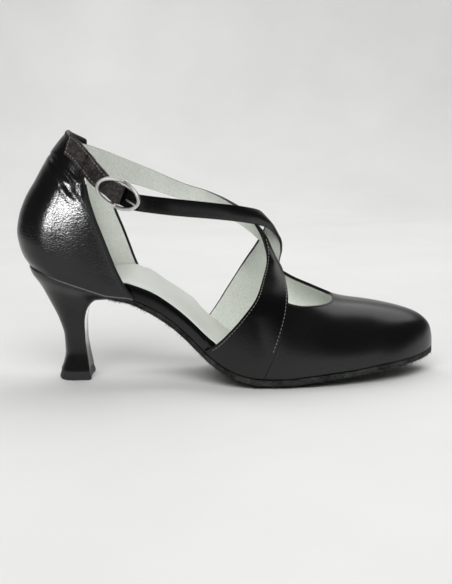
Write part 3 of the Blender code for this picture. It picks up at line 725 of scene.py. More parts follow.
class Finish:
    """Material under construction, with its Principled shader."""

    def __init__(self, name):
        self.material = bpy.data.materials.new(name)
        self.material.use_nodes = True
        self.tree = self.material.node_tree
        self.shader = self.tree.nodes["Principled BSDF"]

    def put(self, socket, value):
        if isinstance(value, Value):
            self.tree.links.new(value.socket, socket)
        elif hasattr(value, "__len__") and len(value) == 3 and socket.type == "RGBA":
            socket.default_value = (*value, 1.0)
        else:
            socket.default_value = value

    def node(self, kind, settings=None, sockets=None, output=0):
        """New node: its settings first, then the values or links of its sockets."""
        made = self.tree.nodes.new(kind)
        for key, value in (settings or {}).items():
            if key == "stops":
                ramp = made.color_ramp.elements
                while len(ramp) < len(value):
                    ramp.new(0.5)
                for stop, (place, grey) in zip(ramp, value):
                    stop.position = place
                    stop.color = (grey, grey, grey, 1.0)
            else:
                setattr(made, key, value)
        for key, value in (sockets or {}).items():
            self.put(made.inputs[key], value)
        return Value(self, made.outputs[output])

    def coordinates(self):
        return self.node("ShaderNodeTexCoord", output="Object")

    def noise(self, scale, detail, roughness=0.55):
        sockets = {"Vector": self.coordinates(), "Scale": scale, "Detail": detail,
                   "Roughness": roughness}
        return self.node("ShaderNodeTexNoise", None, sockets)

    def cells(self, scale, feature="F1"):
        sockets = {"Vector": self.coordinates(), "Scale": scale}
        return self.node("ShaderNodeTexVoronoi", {"feature": feature}, sockets)

    def ramp(self, value, stops):
        return self.node("ShaderNodeValToRGB", {"stops": stops}, {"Fac": value})

    def mix(self, factor, first, second):
        sockets = {0: factor, 6: first, 7: second}
        return self.node("ShaderNodeMix", {"data_type": "RGBA"}, sockets, 2)

    def bump(self, height, strength, distance):
        sockets = {"Height": height, "Strength": strength, "Distance": distance}
        return self.node("ShaderNodeBump", None, sockets)

    def shade(self, **sockets):
        for name, value in sockets.items():
            self.put(self.shader.inputs[name.replace("_", " ").title()], value)
        return self.material


def finished(name, build):
    """Material of that name, built the first time it is asked for."""
    return bpy.data.materials.get(name) or build(Finish(name))


def tint(colour, factor):
    """Colour made darker or lighter."""
    return tuple(min(1.0, part * factor) for part in colour)


def calf_leather(name, colour, grain, gloss):
    """Smooth black leather: fine pebbled grain, pores and a gloss that varies a little."""

    def build(finish):
        pebble = finish.cells(scale=1150.0, feature="SMOOTH_F1")
        pores = finish.noise(scale=3200.0, detail=2.0)
        broad = finish.noise(scale=38.0, detail=3.0)
        tone = finish.ramp(broad, [(0.3, 0.0), (0.75, 1.0)])
        height = pebble * 0.7 + pores * 0.3
        return finish.shade(
            base_color=finish.mix(tone, tint(colour, 0.8), tint(colour, 1.5)),
            roughness=gloss + 0.06 * broad + 0.06 * pores,
            normal=finish.bump(height, strength=grain, distance=0.0004))

    return finished(name, build)


def crackled_leather(name, colour):
    """Dark leather with a crackled grain whose lighter flecks are partly its own tone and partly
    painted highlight.
    """

    def build(finish):
        crackle = finish.noise(scale=620.0, detail=6.0, roughness=0.75)
        # Lighter flecks on the crackle: partly the grain's own tone, partly painted highlight on
        # the grain
        crackle_tone_and_highlight = finish.ramp(crackle, [(0.46, 0.0), (0.64, 1.0)])
        return finish.shade(
            base_color=finish.mix(crackle_tone_and_highlight, tint(colour, 0.5), tint(colour, 4.0)),
            roughness=0.34 + 0.15 * crackle,
            normal=finish.bump(crackle, strength=0.7, distance=0.0006))

    return finished(name, build)


def lining_leather(name, colour):
    """Pale lining with pores, soft mottling and faint wrinkles."""

    def build(finish):
        pores = finish.ramp(finish.cells(scale=1500.0), [(0.08, 0.0), (0.40, 1.0)])
        cloud = finish.noise(scale=60.0, detail=4.0)
        fine = finish.noise(scale=900.0, detail=5.0, roughness=0.7)
        paper = finish.mix(cloud * 0.4 + fine * 0.6, tint(colour, 0.72), tint(colour, 1.18))
        return finish.shade(
            base_color=finish.mix(pores, tint(colour, 0.62), paper),
            roughness=0.55 + 0.25 * fine,
            normal=finish.bump(pores * 0.5 + fine, strength=0.75, distance=0.0004))

    return finished(name, build)


def suede_split(name, colour):
    """Dark napped suede with loose fibres."""

    def build(finish):
        nap = finish.noise(scale=1400.0, detail=5.0, roughness=0.75)
        patch = finish.noise(scale=160.0, detail=4.0, roughness=0.6)
        tone = finish.ramp(nap * 0.65 + patch * 0.35, [(0.42, 0.0), (0.62, 1.0)])
        return finish.shade(
            base_color=finish.mix(tone, tint(colour, 0.1), tint(colour, 3.0)),
            roughness=0.95,
            normal=finish.bump(nap, strength=1.0, distance=0.0012))

    return finished(name, build)


def plain_finish(name, colour, roughness, metallic=0.0, scale=700.0, depth=0.15):
    """Even finish with a slight wear pattern in its gloss."""

    def build(finish):
        wear = finish.noise(scale, detail=4.0, roughness=0.6)
        return finish.shade(
            base_color=finish.mix(wear, tint(colour, 0.85), tint(colour, 1.1)),
            roughness=roughness + 0.12 * wear,
            metallic=metallic,
            normal=finish.bump(wear, strength=depth, distance=0.0002))

    return finished(name, build)


def length_property(name, description, default):
    """Size in metres that a user may change."""
    return FloatProperty(name=name, description=description, default=default, min=0.0,
                         unit="LENGTH", precision=5)


def colour_property(name, description, default):
    """Colour that a user may change."""
    return FloatVectorProperty(name=name, description=description, default=default, size=3,
                               subtype="COLOR", min=0.0, max=1.0)


class ShoeSizes(bpy.types.PropertyGroup):
    """Leather thicknesses, stitches and buckle wire."""

    wall: length_property("Wall", "Thickness of vamp and heel cup with their lining", 0.0016)
    strap_wall: length_property("Strap", "Thickness of the straps", 0.0018)
    tab_wall: length_property("Tab", "Thickness of the buckle tab", 0.0016)
    edge_round: length_property("Edge", "Rounding of the cut leather edges", 0.0005)
    stitch_pitch: length_property("Stitch pitch", "Distance from stitch to stitch", 0.0021)
    stitch_length: length_property("Stitch length", "Length of one stitch", 0.0016)
    thread: length_property("Thread", "Thickness of the thread", 0.0004)
    ring_wide: length_property("Ring width", "Width of the buckle ring's section", 0.0021)
    ring_thick: length_property("Ring depth", "Depth of the buckle ring's section", 0.0017)
    bar: length_property("Bar", "Diameter of the buckle's bar", 0.0014)
    prong: length_property("Prong", "Diameter of the buckle's prong", 0.0011)


class ShoeColours(bpy.types.PropertyGroup):
    """Colours of leather, linings, suede, thread and metal."""

    leather: colour_property("Leather", "Black calf of the upper", (0.0018, 0.0018, 0.0019))
    tab: colour_property("Tab", "Grained leather of the buckle tab", (0.017, 0.0145, 0.013))
    lining: colour_property("Lining", "Pale lining of straps, vamp and counter", (0.80, 0.83, 0.77))
    sock: colour_property("Sock", "Pale leather on the insole", (0.80, 0.83, 0.76))
    grip: colour_property("Heel grip", "Dark lining at the counter's top", (0.014, 0.013, 0.012))
    # Seat bead colour: a light grey that is painted highlight, standing in for the thin bright line
    # along the joint of counter and heel
    seat_painted_highlight: colour_property("Seat line", "Bead between counter and heel", (0.14, 0.14, 0.14))
    edge: colour_property("Edge", "Painted cut edges", (0.006, 0.006, 0.006))
    suede: colour_property("Suede", "Split suede of the sole", (0.029, 0.032, 0.029))
    heel: colour_property("Heel", "Satin leather over the heel", (0.007, 0.007, 0.007))
    top_piece: colour_property("Top piece", "Rubber under the heel", (0.034, 0.035, 0.034))
    metal: colour_property("Metal", "Nickel of the buckle", (0.80, 0.79, 0.77))
    # Pale grey thread: partly the thread's own tone, partly painted sheen for the light dashes of
    # reflection along the seams
    pale_thread_and_sheen: colour_property("Light thread", "Thread that catches light", (0.30, 0.29, 0.27))
    dark_thread: colour_property("Dark thread", "Thread on linings and edges", (0.05, 0.05, 0.05))
    floor: colour_property("Floor", "Floor and backdrop", (0.80, 0.80, 0.79))


def painted_edge(colours):
    """Finish of the cut edges."""
    return plain_finish("painted_edge", colours.edge, roughness=0.42)


def leather_set(context):
    """Finishes of a leather piece: outside, lining, edge."""
    colours = context.scene.shoe_colours
    return (calf_leather("black_calf", colours.leather, grain=0.12, gloss=0.20),
            lining_leather("pale_lining", colours.lining),
            painted_edge(colours))


def vamp_point(u, v):
    """Vamp: u from the outer strap base round the toe to the inner one, v up to the throat."""
    reach = 1 - abs(2 * u - 1)
    inner = u > 0.5
    low_turn = 0.5 * pi * max(0.0, (reach - VAMP_SIDES) / (1 - VAMP_SIDES))
    low_turn = pi - low_turn if inner else low_turn
    x_top = VAMP_BACK + (THROAT_FRONT - THROAT_MARGIN - VAMP_BACK) * sin(reach * pi / 2)
    top_turn = throat_turn(x_top, inner)
    back = VAMP_BACK + VAMP_LEAN * sin(top_turn)
    top_share = asin(clamp((x_top - back) / (TOE_END - back))) * 2 / pi
    low_share = min(1.0, reach / VAMP_SIDES)
    turn = low_turn + (top_turn - low_turn) * v
    back = VAMP_BACK + VAMP_LEAN * sin(turn)
    share = low_share + (top_share - low_share) * v
    return vamp_at(back + (TOE_END - back) * sin(share * pi / 2), turn)


def close_toe(builder):
    """Flat face over the small end of the toe, which the vamp's sheet leaves open."""
    end = placed((TOE_END - TOE_CLOSE, 0.0, 0.0)).x
    rim = [vert for vert in builder.verts if vert.co.x > end]
    builder.faces.new(sorted(rim, key=lambda vert: -vert.co.y))
    return builder


class SHOE_OT_vamp(bpy.types.Operator):
    """Closed vamp with its throat, from the outer strap base round the toe to the inner one"""

    bl_idname = "shoe.vamp"
    bl_label = "Vamp"

    def execute(self, context):
        sizes = context.scene.shoe_sizes
        calf, lining, edge = leather_set(context)
        piece = add_leather("vamp", close_toe(sheet(vamp_point, *VAMP_MESH)), (calf, lining, edge))
        leather_wall(piece, sizes.wall, sizes.edge_round)
        add_leather("throat_binding", bead(vamp_point, *THROAT_BINDING), (calf,))
        return {"FINISHED"}


class SHOE_OT_straps(bpy.types.Operator):
    """Crossed instep straps that grow out of the sides of the vamp"""

    bl_idname = "shoe.straps"
    bl_label = "Straps"

    def execute(self, context):
        sizes = context.scene.shoe_sizes
        for name, point, mesh in (("outer_strap", outer_strap_point, OUTER_STRAP_MESH),
                                  ("inner_strap", inner_strap_point, INNER_STRAP_MESH)):
            piece = add_leather(name, sheet(point, *mesh), leather_set(context))
            leather_wall(piece, sizes.strap_wall, sizes.edge_round)
        groove = plain_finish("edge_groove", context.scene.shoe_colours.edge, roughness=0.9)
        add_leather("strap_front_edge", bead(outer_strap_point, *STRAP_GROOVE), (groove,))
        return {"FINISHED"}


def crease_depth(x, z):
    """Depth of the listed creases of the counter at a place on its outer side."""
    depth = 0.0
    for (x0, z0), (x1, z1), width, deep in CREASES:
        run_x, run_z = x1 - x0, z1 - z0
        length = hypot(run_x, run_z)
        share = ((x - x0) * run_x + (z - z0) * run_z) / length ** 2
        off = ((x - x0) * run_z - (z - z0) * run_x) / length
        fade = smooth(*CREASE_START, share) * (1 - smooth(*CREASE_END, share))
        valley = exp(-(off / width) ** 2)
        ridge = exp(-((off - RIDGE_OFF * width) / (RIDGE_WIDTH * width)) ** 2)
        depth += deep * fade * (valley - RIDGE_HEIGHT * ridge)
    return depth


def counter_point(u, v):
    """Heel cup with its creases under the tab and a soft rolled rim."""
    spot = Vector(cup(u, v))
    normal = facing(cup, u, v)
    collar = COLLAR_STEP * smooth(COLLAR_LOW, COLLAR_LOW + COLLAR_RUN, spot.z)
    return spot + normal * (collar - (crease_depth(spot.x, spot.z) if u > 0.5 else 0.0))


class SHOE_OT_counter(bpy.types.Operator):
    """Closed heel counter with creased sides and a dark grip inside its rim"""

    bl_idname = "shoe.counter"
    bl_label = "Heel counter"

    def execute(self, context):
        sizes, colours = context.scene.shoe_sizes, context.scene.shoe_colours
        calf = calf_leather("counter_calf", colours.leather, grain=0.32, gloss=0.16)
        _, lining, edge = leather_set(context)
        shell = sheet(counter_point, *COUNTER_MESH)
        piece = add_leather("heel_counter", shell, (calf, lining, edge))
        leather_wall(piece, sizes.wall, sizes.edge_round)
        for name, *line in COUNTER_BEADS:
            add_leather(name, bead(counter_point, *line), (edge,))
        # The seat bead's light grey is painted highlight: it stands in for the thin bright line
        # along the joint of counter and heel
        seat_highlight_finish = plain_finish("seat_painted_highlight", colours.seat_painted_highlight, roughness=0.3)
        add_leather("seat_bead", bead(counter_point, *SEAT_BEAD), (seat_highlight_finish,))

        def inside(u, v):
            first = GRIP_FROM + GRIP_SLANT * (1 - v)
            u = first + (GRIP_TO - first) * u
            depth = GRIP_LIP + (GRIP_DEPTH - GRIP_LIP) * smooth(0.0, GRIP_LIP_SHARE, 1 - v)
            v = GRIP_LOW + (GRIP_TOP - GRIP_LOW) * v
            return Vector(cup(u, v)) - facing(cup, u, v) * depth

        grip = plain_finish("grip_leather", colours.grip, roughness=0.5)
        piece = add_leather("heel_grip", sheet(inside, *GRIP_MESH), (grip, grip, grip))
        leather_wall(piece, sizes.wall / 2, sizes.edge_round / 2)
        return {"FINISHED"}


class SHOE_OT_tab(bpy.types.Operator):
    """Buckle tab that is sewn on the rim of the counter and loops round the bar"""

    bl_idname = "shoe.tab"
    bl_label = "Buckle tab"

    def execute(self, context):
        sizes, colours = context.scene.shoe_sizes, context.scene.shoe_colours
        finishes = (crackled_leather("grained_tab", colours.tab),
                    plain_finish("tab_backing", colours.tab, roughness=0.6),
                    painted_edge(colours))
        piece = add_leather("buckle_tab", sheet(tab_point, *TAB_MESH), finishes)
        leather_wall(piece, sizes.tab_wall, sizes.edge_round)
        return {"FINISHED"}


def board_edges(x):
    """Edges of the insole board: inside the upper at heel and forefoot, flush at the open waist."""
    ends = BOARD_ENDS(x)
    low, high = outline(x + ends * BOARD_INSET)
    outer = GAP + (BOARD_INSET - GAP) * OUTER_INSET(x)
    inner = GAP + (BOARD_INSET - GAP) * INNER_INSET(x)
    return low + outer, high - inner


def board_along(u):
    """Place along the insole, closer together at both ends."""
    back, front = SEAT_BACK + BOARD_INSET, TOE_END - BOARD_INSET - BOARD_TOE_GAP
    return back + (front - back) * (BOARD_EVEN * u + (1 - BOARD_EVEN) * (1 - cos(pi * u)) / 2)


def arch_pad(x, y):
    """Padding of the insole towards its inner edge."""
    return ARCH_PAD(x) * max(0.0, y / outline(x)[1]) ** 2


class SHOE_OT_insole(bpy.types.Operator):
    """Insole board wrapped in black leather, with a pale sock on it"""

    bl_idname = "shoe.insole"
    bl_label = "Insole"

    def execute(self, context):
        colours = context.scene.shoe_colours

        def board(u, v):
            x = board_along(u)
            low, high = board_edges(x)
            turn = pi * v
            side = cos(turn)
            y = (low + high) / 2 - (high - low) / 2 * sign(side) * abs(side) ** BOARD_POWER
            thick = LAST.board(x) + arch_pad(x, y) - BOARD_UNDER_SOCK
            return x, y, feather(x, y) + thick * sin(turn) ** BOARD_POWER

        def sock(u, v):
            x = board_along(SOCK_END + (1 - 2 * SOCK_END) * u)
            low, high = board_edges(x)
            inset = min(SOCK_INSET, SOCK_NARROW * (high - low))
            y = low + inset + (high - low - 2 * inset) * v
            return x, y, feather(x, y) + LAST.board(x) + arch_pad(x, y)

        wrap = calf_leather("wrapped_rim", colours.leather, grain=0.06, gloss=0.16)
        add_piece("insole_rim", sheet(board, *BOARD_MESH), (wrap,), "insole")
        pale = lining_leather("sock_leather", colours.sock)
        piece = add_piece("insole_sock", sheet(sock, *SOCK_MESH), (pale, pale, pale),
                          "insole")
        leather_wall(piece, SOCK_WALL, SOCK_WALL / 3)
        return {"FINISHED"}


class SHOE_OT_outsole(bpy.types.Operator):
    """Suede outsole with a worn, fibrous edge"""

    bl_idname = "shoe.outsole"
    bl_label = "Outsole"

    def execute(self, context):
        colours = context.scene.shoe_colours
        back = BREAST - SOLE_TUCK

        def section(u, v):
            x = back + (TOE_END - back) * (SOLE_EVEN * v + (1 - SOLE_EVEN) * sin(v * pi / 2))
            low, high = outline(x)
            turn = 2 * pi * u
            across, up = cos(turn), sin(turn)
            y = (low + high) / 2 + (high - low) / 2 * sign(across) * abs(across) ** SOLE_POWER
            share = 0.5 + 0.5 * sign(up) * abs(up) ** SOLE_POWER
            under = sole_under(x, y)
            place = Vector((x * RAGGED_SCALE, y * RAGGED_SCALE, share * RAGGED_LAYERS))
            ragged = RAGGED_DEPTH * noise.noise(place) * abs(across) ** RAGGED_POWER
            return x, y + ragged * sign(across), under + LAST.sole(x) * share

        suede = suede_split("suede", colours.suede)
        add_piece("outsole", closed_tube(section, *SOLE_MESH), (suede,), "outsole")
        add_piece("suede_fibres", self.fibres(section), (suede,), "outsole")
        return {"FINISHED"}

    def fibres(self, section):
        """Loose fibres that stand out from the lower edge of the sole."""
        draw = random.Random(FIBRE_SEED)
        builder = bmesh.new()
        for _ in range(FIBRES):
            outer = draw.random() < FIBRE_OUTER_SHARE
            share = draw.random() ** FIBRE_CROWD
            round_share = draw.uniform(*(FIBRE_OUTER_RIM if outer else FIBRE_INNER_RIM))
            root = Vector(section(round_share, share))
            aim = Vector((draw.uniform(-1, 1), -1.0 if outer else 1.0, draw.uniform(*FIBRE_DROOP)))
            aim.normalize()
            length = draw.uniform(*FIBRE_LENGTH)
            turn = aim.to_track_quat("Z", "Y").to_matrix().to_4x4()
            place = Matrix.Translation(placed(root + aim * length / 2)) @ turn
            thick = FIBRE_RADIUS * MM
            bmesh.ops.create_cone(builder, cap_ends=True, segments=3, radius1=thick,
                                  radius2=FIBRE_TAPER * thick, depth=length * MM, matrix=place)
        return builder


def heel_section(level, u, shrink):
    """Point of a heel section: rounded at the back, flatter and hollow at the breast."""
    turn = 2 * pi * u
    back, front = HEEL.back_x(level), HEEL.front_x(level)
    power = 2 / HEEL.square(level)
    ahead = cos(turn)
    length = sign(ahead) * abs(ahead) ** (power if ahead > 0 else HEEL_BACK_LENGTH)
    wide = sign(sin(turn)) * abs(sin(turn)) ** (power if ahead > 0 else HEEL_BACK_WIDTH)
    x = (back + front) / 2 + ((front - back) / 2 - shrink) * length
    hollow = BREAST_HOLLOW * max(0.0, ahead) ** 2 * (1 - wide ** 2) * min(1.0, level / 2)
    share = (x - back) / (front - back)
    z = HEEL.back_z(level) * (1 - share) + HEEL.front_z(level) * share
    return x - hollow, (HEEL.half(level) - shrink) * wide, z


class SHOE_OT_heel(bpy.types.Operator):
    """Flared heel block covered in satin leather, with its top piece"""

    bl_idname = "shoe.heel"
    bl_label = "Heel"

    def execute(self, context):
        colours = context.scene.shoe_colours

        def cover(u, v):
            level = HEEL_LEVELS * v
            rounding = COVER_ROUND * max(0.0, 1 - level / COVER_ROUND_LEVEL) ** 2
            return heel_section(level, u, rounding)

        def top_piece(u, v):
            level = clamp(2 * v - 0.5)
            rounding = TIP_ROUND * (1 - min(1.0, 4 * min(v, 1 - v)) ** 0.5)
            x, y, _ = heel_section(HEEL_LEVELS, u, rounding - TIP_FLARE * level)
            return x, y, TIP_HEIGHT * (1 - clamp((1 + 2 * TIP_OVERRUN) * v - TIP_OVERRUN))

        satin = calf_leather("satin_cover", colours.heel, grain=0.05, gloss=0.22)
        add_piece("heel_cover", closed_tube(cover, *HEEL_MESH), (satin,), "heel")
        rubber = plain_finish("top_piece_rubber", colours.top_piece, roughness=0.55)
        add_piece("top_piece", closed_tube(top_piece, *TOP_PIECE_MESH), (rubber,),
                  "heel_tip")
        return {"FINISHED"}


def ring_centre(turn):
    """Centre line of the ring in the buckle's axes, its ends bowed out from the bar."""
    bow = RING_BOW * (1 - (1 - abs(cos(turn))) ** 2)
    return Vector((RING_LONG * cos(turn), RING_SHORT * sin(turn), bow))


class SHOE_OT_buckle(bpy.types.Operator):
    """Oval ring with its bar, and the prong that rests on the ring"""

    bl_idname = "shoe.buckle"
    bl_label = "Buckle"

    def execute(self, context):
        sizes, colours = context.scene.shoe_sizes, context.scene.shoe_colours
        axes = buckle_axes()
        wide, thick = sizes.ring_wide / MM / 2, sizes.ring_thick / MM / 2
        metal = plain_finish("nickel", colours.metal, roughness=0.32, metallic=1.0,
                             scale=420.0, depth=0.05)

        def ring(u, v):
            turn, around = 2 * pi * u, -2 * pi * (v % 1.0)
            out = Vector((cos(turn) / RING_LONG, sin(turn) / RING_SHORT, 0)).normalized()
            spot = ring_centre(turn) + out * wide * cos(around)
            spot.z += thick * sin(around)
            return axes @ spot

        def bar(u, v):
            turn, radius = 2 * pi * u, sizes.bar / MM / 2
            return axes @ Vector((radius * cos(turn), RING_SHORT * (2 * v - 1), radius * sin(turn)))

        def prong(u, v):
            turn = 2 * pi * u
            half = sizes.prong / MM / 2
            tip = min(1.0, PRONG_POINT * (1 - v)) ** 0.5
            radius = half * (1 - PRONG_TAPER * v) * tip + PRONG_TIP
            top = RING_BOW + thick + GAP + half
            x = PRONG_START + (RING_LONG + PRONG_PAST - PRONG_START) * v
            z = top * sin(v * pi / 2) + PRONG_FOOT * (1 - v)
            return axes @ Vector((x, PRONG_SIDE + radius * cos(turn), z + radius * sin(turn)))

        for name, tube, node in (
                ("buckle_ring", closed_tube(ring, *RING_MESH, capped=False), "buckle_frame"),
                ("buckle_bar", closed_tube(bar, *BAR_MESH), "buckle_frame"),
                ("buckle_prong_wire", closed_tube(prong, *PRONG_MESH), "buckle_prong")):
            add_piece(name, tube, (metal,), node)
        return {"FINISHED"}


def seam_path(point, line):
    """Points and normals of a seam that follows (u, v) corners on a piece, in millimetres."""
    path = []
    for (u0, v0), (u1, v1) in zip(line, line[1:]):
        for k in range(SEAM_STEPS):
            u = u0 + (u1 - u0) * k / SEAM_STEPS
            v = v0 + (v1 - v0) * k / SEAM_STEPS
            normal = facing(point, u, v)
            path.append((Vector(point(u, v)) + normal * SEAM_LIFT, normal))
    return path


def sew(builder, path, pitch, length, radius):
    """Row of stitches along a path, each a short rounded thread that dips at its ends."""
    due = 0.0
    for (here, normal), (there, _) in zip(path, path[1:]):
        run = (there - here).length
        while due < run:
            along = (there - here) / run
            across = normal.cross(along).normalized()
            turn = Matrix((along, across, along.cross(across))).transposed().to_4x4()
            spot = placed(here + along * due)
            size = Matrix.Diagonal((length / 2 * MM, radius * MM, radius * MM, 1.0))
            bmesh.ops.create_uvsphere(builder, u_segments=6, v_segments=4, radius=1.0,
                                      matrix=Matrix.Translation(spot) @ turn @ size)
            due += pitch
        due -= run


class SHOE_OT_stitching(bpy.types.Operator):
    """Stitch rows on tab, straps and counter"""

    bl_idname = "shoe.stitching"
    bl_label = "Stitching"

    def execute(self, context):
        sizes, colours = context.scene.shoe_sizes, context.scene.shoe_colours
        pitch, length = sizes.stitch_pitch / MM, sizes.stitch_length / MM
        radius = sizes.thread / MM / 2
        # The pale stitches carry painted sheen: their light grey partly stands in for reflection on
        # the thread and the folded edges
        for name, colour, seams in (("light_stitches", colours.pale_thread_and_sheen, PALE_SHEEN_SEAMS),
                                    ("dark_stitches", colours.dark_thread, DARK_SEAMS)):
            builder = bmesh.new()
            for point, line in seams:
                sew(builder, seam_path(point, line), pitch, length, radius)
            add_leather(name, builder, (plain_finish(name, colour, roughness=0.5),))
        return {"FINISHED"}


# Seams: the piece, and the ends of the row as shares along and across it
# Rows sewn in the pale thread, whose light grey is partly painted sheen
PALE_SHEEN_SEAMS = [
    (outer_strap_point, ((0.075, 0.045), (0.30, 0.06))),
    (outer_strap_point, ((0.03, 0.945), (0.42, 0.90))),
    (tab_point, ((0.03, 0.13), (0.58, 0.14))),
    (tab_point, ((0.03, 0.87), (0.58, 0.86))),
    (tab_point, ((0.03, 0.13), (0.03, 0.87))),
]
DARK_SEAMS = [
    (counter_point, ((0.985, 0.05), (0.985, 0.96))),
    (counter_point, ((0.015, 0.05), (0.015, 0.96))),
    (inner_strap_point, ((0.03, 0.06), (0.30, 0.08))),
    (inner_strap_point, ((0.03, 0.955), (0.25, 0.94))),
]

# Sweep, lights and camera, in metres and degrees
SWEEP_RUN = 3.2            # length of the sweep from its front edge up the back
SWEEP_FLAT = 1.2           # its flat part, and the radius of the bend behind it
SWEEP_RADIUS = 0.5
SWEEP_START = -0.32
SWEEP_WIDTH = 4.0
FRONT_FLOOR = 1.3          # the floor in front of the sweep, which the leather doesn't mirror
WORLD_COLOUR = (0.05, 0.05, 0.05)
# Lights: place, target, size, watts, whether the leather mirrors them, and the only pieces
# that they light, or none where they light all
LIGHTS = [
    ("overhead", (0.3, 0.75, 1.15), (0.0, 0.0, 0.05), (2.6, 0.9), 12.5, True, ()),
    ("fill", (-0.1, -0.9, 1.1), (0.0, 0.0, 0.05), (1.4, 0.9), 16.0, False, ()),
    ("backdrop", (0.0, 0.4, 1.4), (0.0, 1.3, 0.3), (2.4, 0.6), 6.5, False, ()),
    ("low_card", (0.27, -0.44, 0.035), (0.05, -0.03, 0.03), (0.50, 0.06), 0.10, True, ()),
    ("window", (-0.343, -0.725, 0.205), (-0.088, -0.024, 0.096), (0.20, 0.085), 6.0, True,
     ("heel_counter",)),
    ("lining_fill", (-0.1, -0.70, 0.60), (0.0, 0.0, 0.06), (0.6, 0.4), 3.0, False,
     ("insole_sock", "heel_counter", "inner_strap")),
    ("throat_fill", (-0.10, -0.60, 0.50), (0.045, 0.0, 0.04), (0.4, 0.3), 8.0, False, ("vamp",)),
    ("tab_card", (-0.57, -0.29, 0.55), (-0.078, -0.02, 0.128), (0.4, 0.4), 0.8, True,
     ("buckle_tab",)),
    ("breast_card", (0.02, 0.20, 0.004), (0.02, 0.20, 1.0), (0.24, 0.22), 0.3, True,
     ("heel_cover",)),
    ("buckle_card", (-0.30, -0.70, 0.40), (-0.055, -0.03, 0.105), (0.7, 0.6), 2.4, True,
     ("buckle_ring", "buckle_bar", "buckle_prong_wire")),
]
CAMERA_TARGET = (0.97, 0.0, 47.17)     # in the last's millimetres
CAMERA_DISTANCE = 0.560
CAMERA_RISE = 10.0
CAMERA_AROUND = -0.4
CAMERA_ROLL = -0.9
CAMERA_LENS = 60.75        # millimetres, on a sensor of this width
CAMERA_SENSOR = 36.0
CAMERA_NEAR = 0.01


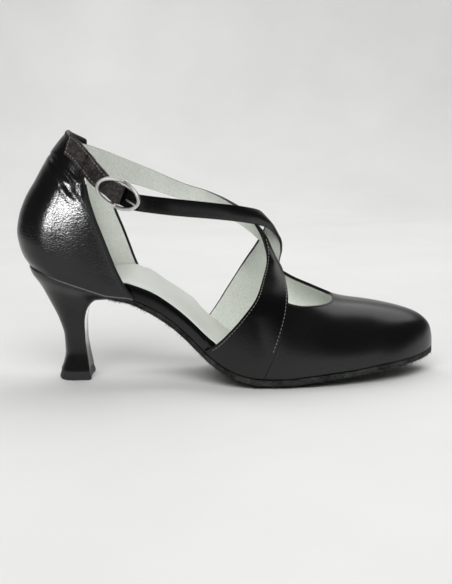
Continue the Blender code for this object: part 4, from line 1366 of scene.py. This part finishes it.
class SHOE_OT_stage(bpy.types.Operator):
    """Pale sweep, soft studio lights and the camera"""

    bl_idname = "shoe.stage"
    bl_label = "Stage"

    def execute(self, context):
        scene = context.scene
        self.add_ground(scene)
        self.add_lights(scene)
        self.add_world(scene)
        self.add_camera(scene)
        return {"FINISHED"}

    def add_ground(self, scene):
        """Sweep behind the shoe and the floor in front of it."""

        def sweep(share):
            along = share * SWEEP_RUN
            bend = clamp((along - SWEEP_FLAT) / (SWEEP_RADIUS * pi / 2)) * pi / 2
            past = max(0.0, along - SWEEP_FLAT - SWEEP_RADIUS * pi / 2)
            y = SWEEP_START + min(along, SWEEP_FLAT) + SWEEP_RADIUS * sin(bend)
            return y, SWEEP_RADIUS * (1 - cos(bend)) + past

        def front(share):
            return SWEEP_START - FRONT_FLOOR * (1 - share), 0.0

        pale = plain_finish("pale_sweep", scene.shoe_colours.floor, roughness=0.75,
                            scale=3.0, depth=0.0)
        for name, profile in (("sweep", sweep), ("front_floor", front)):
            builder = bmesh.new()
            bmesh.ops.create_grid(builder, x_segments=4, y_segments=60, size=0.5)
            for vert in builder.verts:
                vert.co = (vert.co.x * SWEEP_WIDTH, *profile(vert.co.y + 0.5))
            mesh = bpy.data.meshes.new(name)
            builder.to_mesh(mesh)
            builder.free()
            mesh.shade_smooth()
            mesh.materials.append(pale)
            ground = bpy.data.objects.new(name, mesh)
            ground.visible_glossy = profile is sweep
            scene.collection.objects.link(ground)

    def add_lights(self, scene):
        """Soft boxes, some of them linked to single pieces."""
        for name, place, target, size, energy, mirrored, only in LIGHTS:
            lamp = bpy.data.lights.new(name, "AREA")
            lamp.shape = "RECTANGLE"
            lamp.size, lamp.size_y = size
            lamp.energy = energy
            holder = bpy.data.objects.new(name, lamp)
            aim = (Vector(target) - Vector(place)).to_track_quat("-Z", "Y")
            holder.matrix_world = Matrix.Translation(place) @ aim.to_matrix().to_4x4()
            holder.visible_camera = False
            holder.visible_glossy = mirrored
            if only:
                lit = bpy.data.collections.new(name)
                for piece in only:
                    lit.objects.link(bpy.data.objects[piece])
                holder.light_linking.receiver_collection = lit
                holder.light_linking.blocker_collection = lit
            scene.collection.objects.link(holder)

    def add_world(self, scene):
        """Dim even surroundings."""
        world = bpy.data.worlds.new("studio")
        world.use_nodes = True
        background = world.node_tree.nodes["Background"].inputs
        background["Color"].default_value = (*WORLD_COLOUR, 1.0)
        background["Strength"].default_value = 1.0
        scene.world = world
        scene.view_settings.view_transform = "Standard"

    def add_camera(self, scene):
        """Camera at the photograph's distance, height and slight roll."""
        rise, around, roll = radians(CAMERA_RISE), radians(CAMERA_AROUND), radians(CAMERA_ROLL)
        back = Vector((sin(around) * cos(rise), -cos(around) * cos(rise), sin(rise)))
        right = (-back).cross(UP).normalized()
        up = right.cross(-back)
        across = right * cos(roll) + up * sin(roll)
        above = up * cos(roll) - right * sin(roll)
        view = Matrix((across, above, back)).transposed().to_4x4()
        view.translation = placed(CAMERA_TARGET) + back * CAMERA_DISTANCE
        lens = bpy.data.cameras.new("camera")
        lens.sensor_width = CAMERA_SENSOR
        lens.lens = CAMERA_LENS
        lens.clip_start = CAMERA_NEAR
        camera = bpy.data.objects.new("camera", lens)
        camera.matrix_world = view
        scene.collection.objects.link(camera)
        scene.camera = camera


class SHOE_PT_panel(bpy.types.Panel):
    """Sizes, colours and steps of the shoe"""

    bl_label = "Ballroom dance shoe"
    bl_idname = "SHOE_PT_panel"
    bl_space_type = "VIEW_3D"
    bl_region_type = "UI"
    bl_category = "Shoe"

    def draw(self, context):
        for group in (context.scene.shoe_sizes, context.scene.shoe_colours):
            box = self.layout.box()
            for name in group.__annotations__:
                box.prop(group, name)
        for step in STEPS:
            self.layout.operator(step.bl_idname)


STEPS = (SHOE_OT_vamp, SHOE_OT_straps, SHOE_OT_counter, SHOE_OT_tab, SHOE_OT_insole,
         SHOE_OT_outsole, SHOE_OT_heel, SHOE_OT_buckle, SHOE_OT_stitching, SHOE_OT_stage)
CLASSES = (ShoeSizes, ShoeColours, *STEPS, SHOE_PT_panel)


def register():
    for cls in CLASSES:
        bpy.utils.register_class(cls)
    bpy.types.Scene.shoe_sizes = PointerProperty(type=ShoeSizes)
    bpy.types.Scene.shoe_colours = PointerProperty(type=ShoeColours)


def unregister():
    del bpy.types.Scene.shoe_colours
    del bpy.types.Scene.shoe_sizes
    for cls in reversed(CLASSES):
        bpy.utils.unregister_class(cls)


def main():
    register()
    for step in STEPS:
        area, name = step.bl_idname.split(".")
        getattr(getattr(bpy.ops, area), name)()


if __name__ == "__main__":
    main()
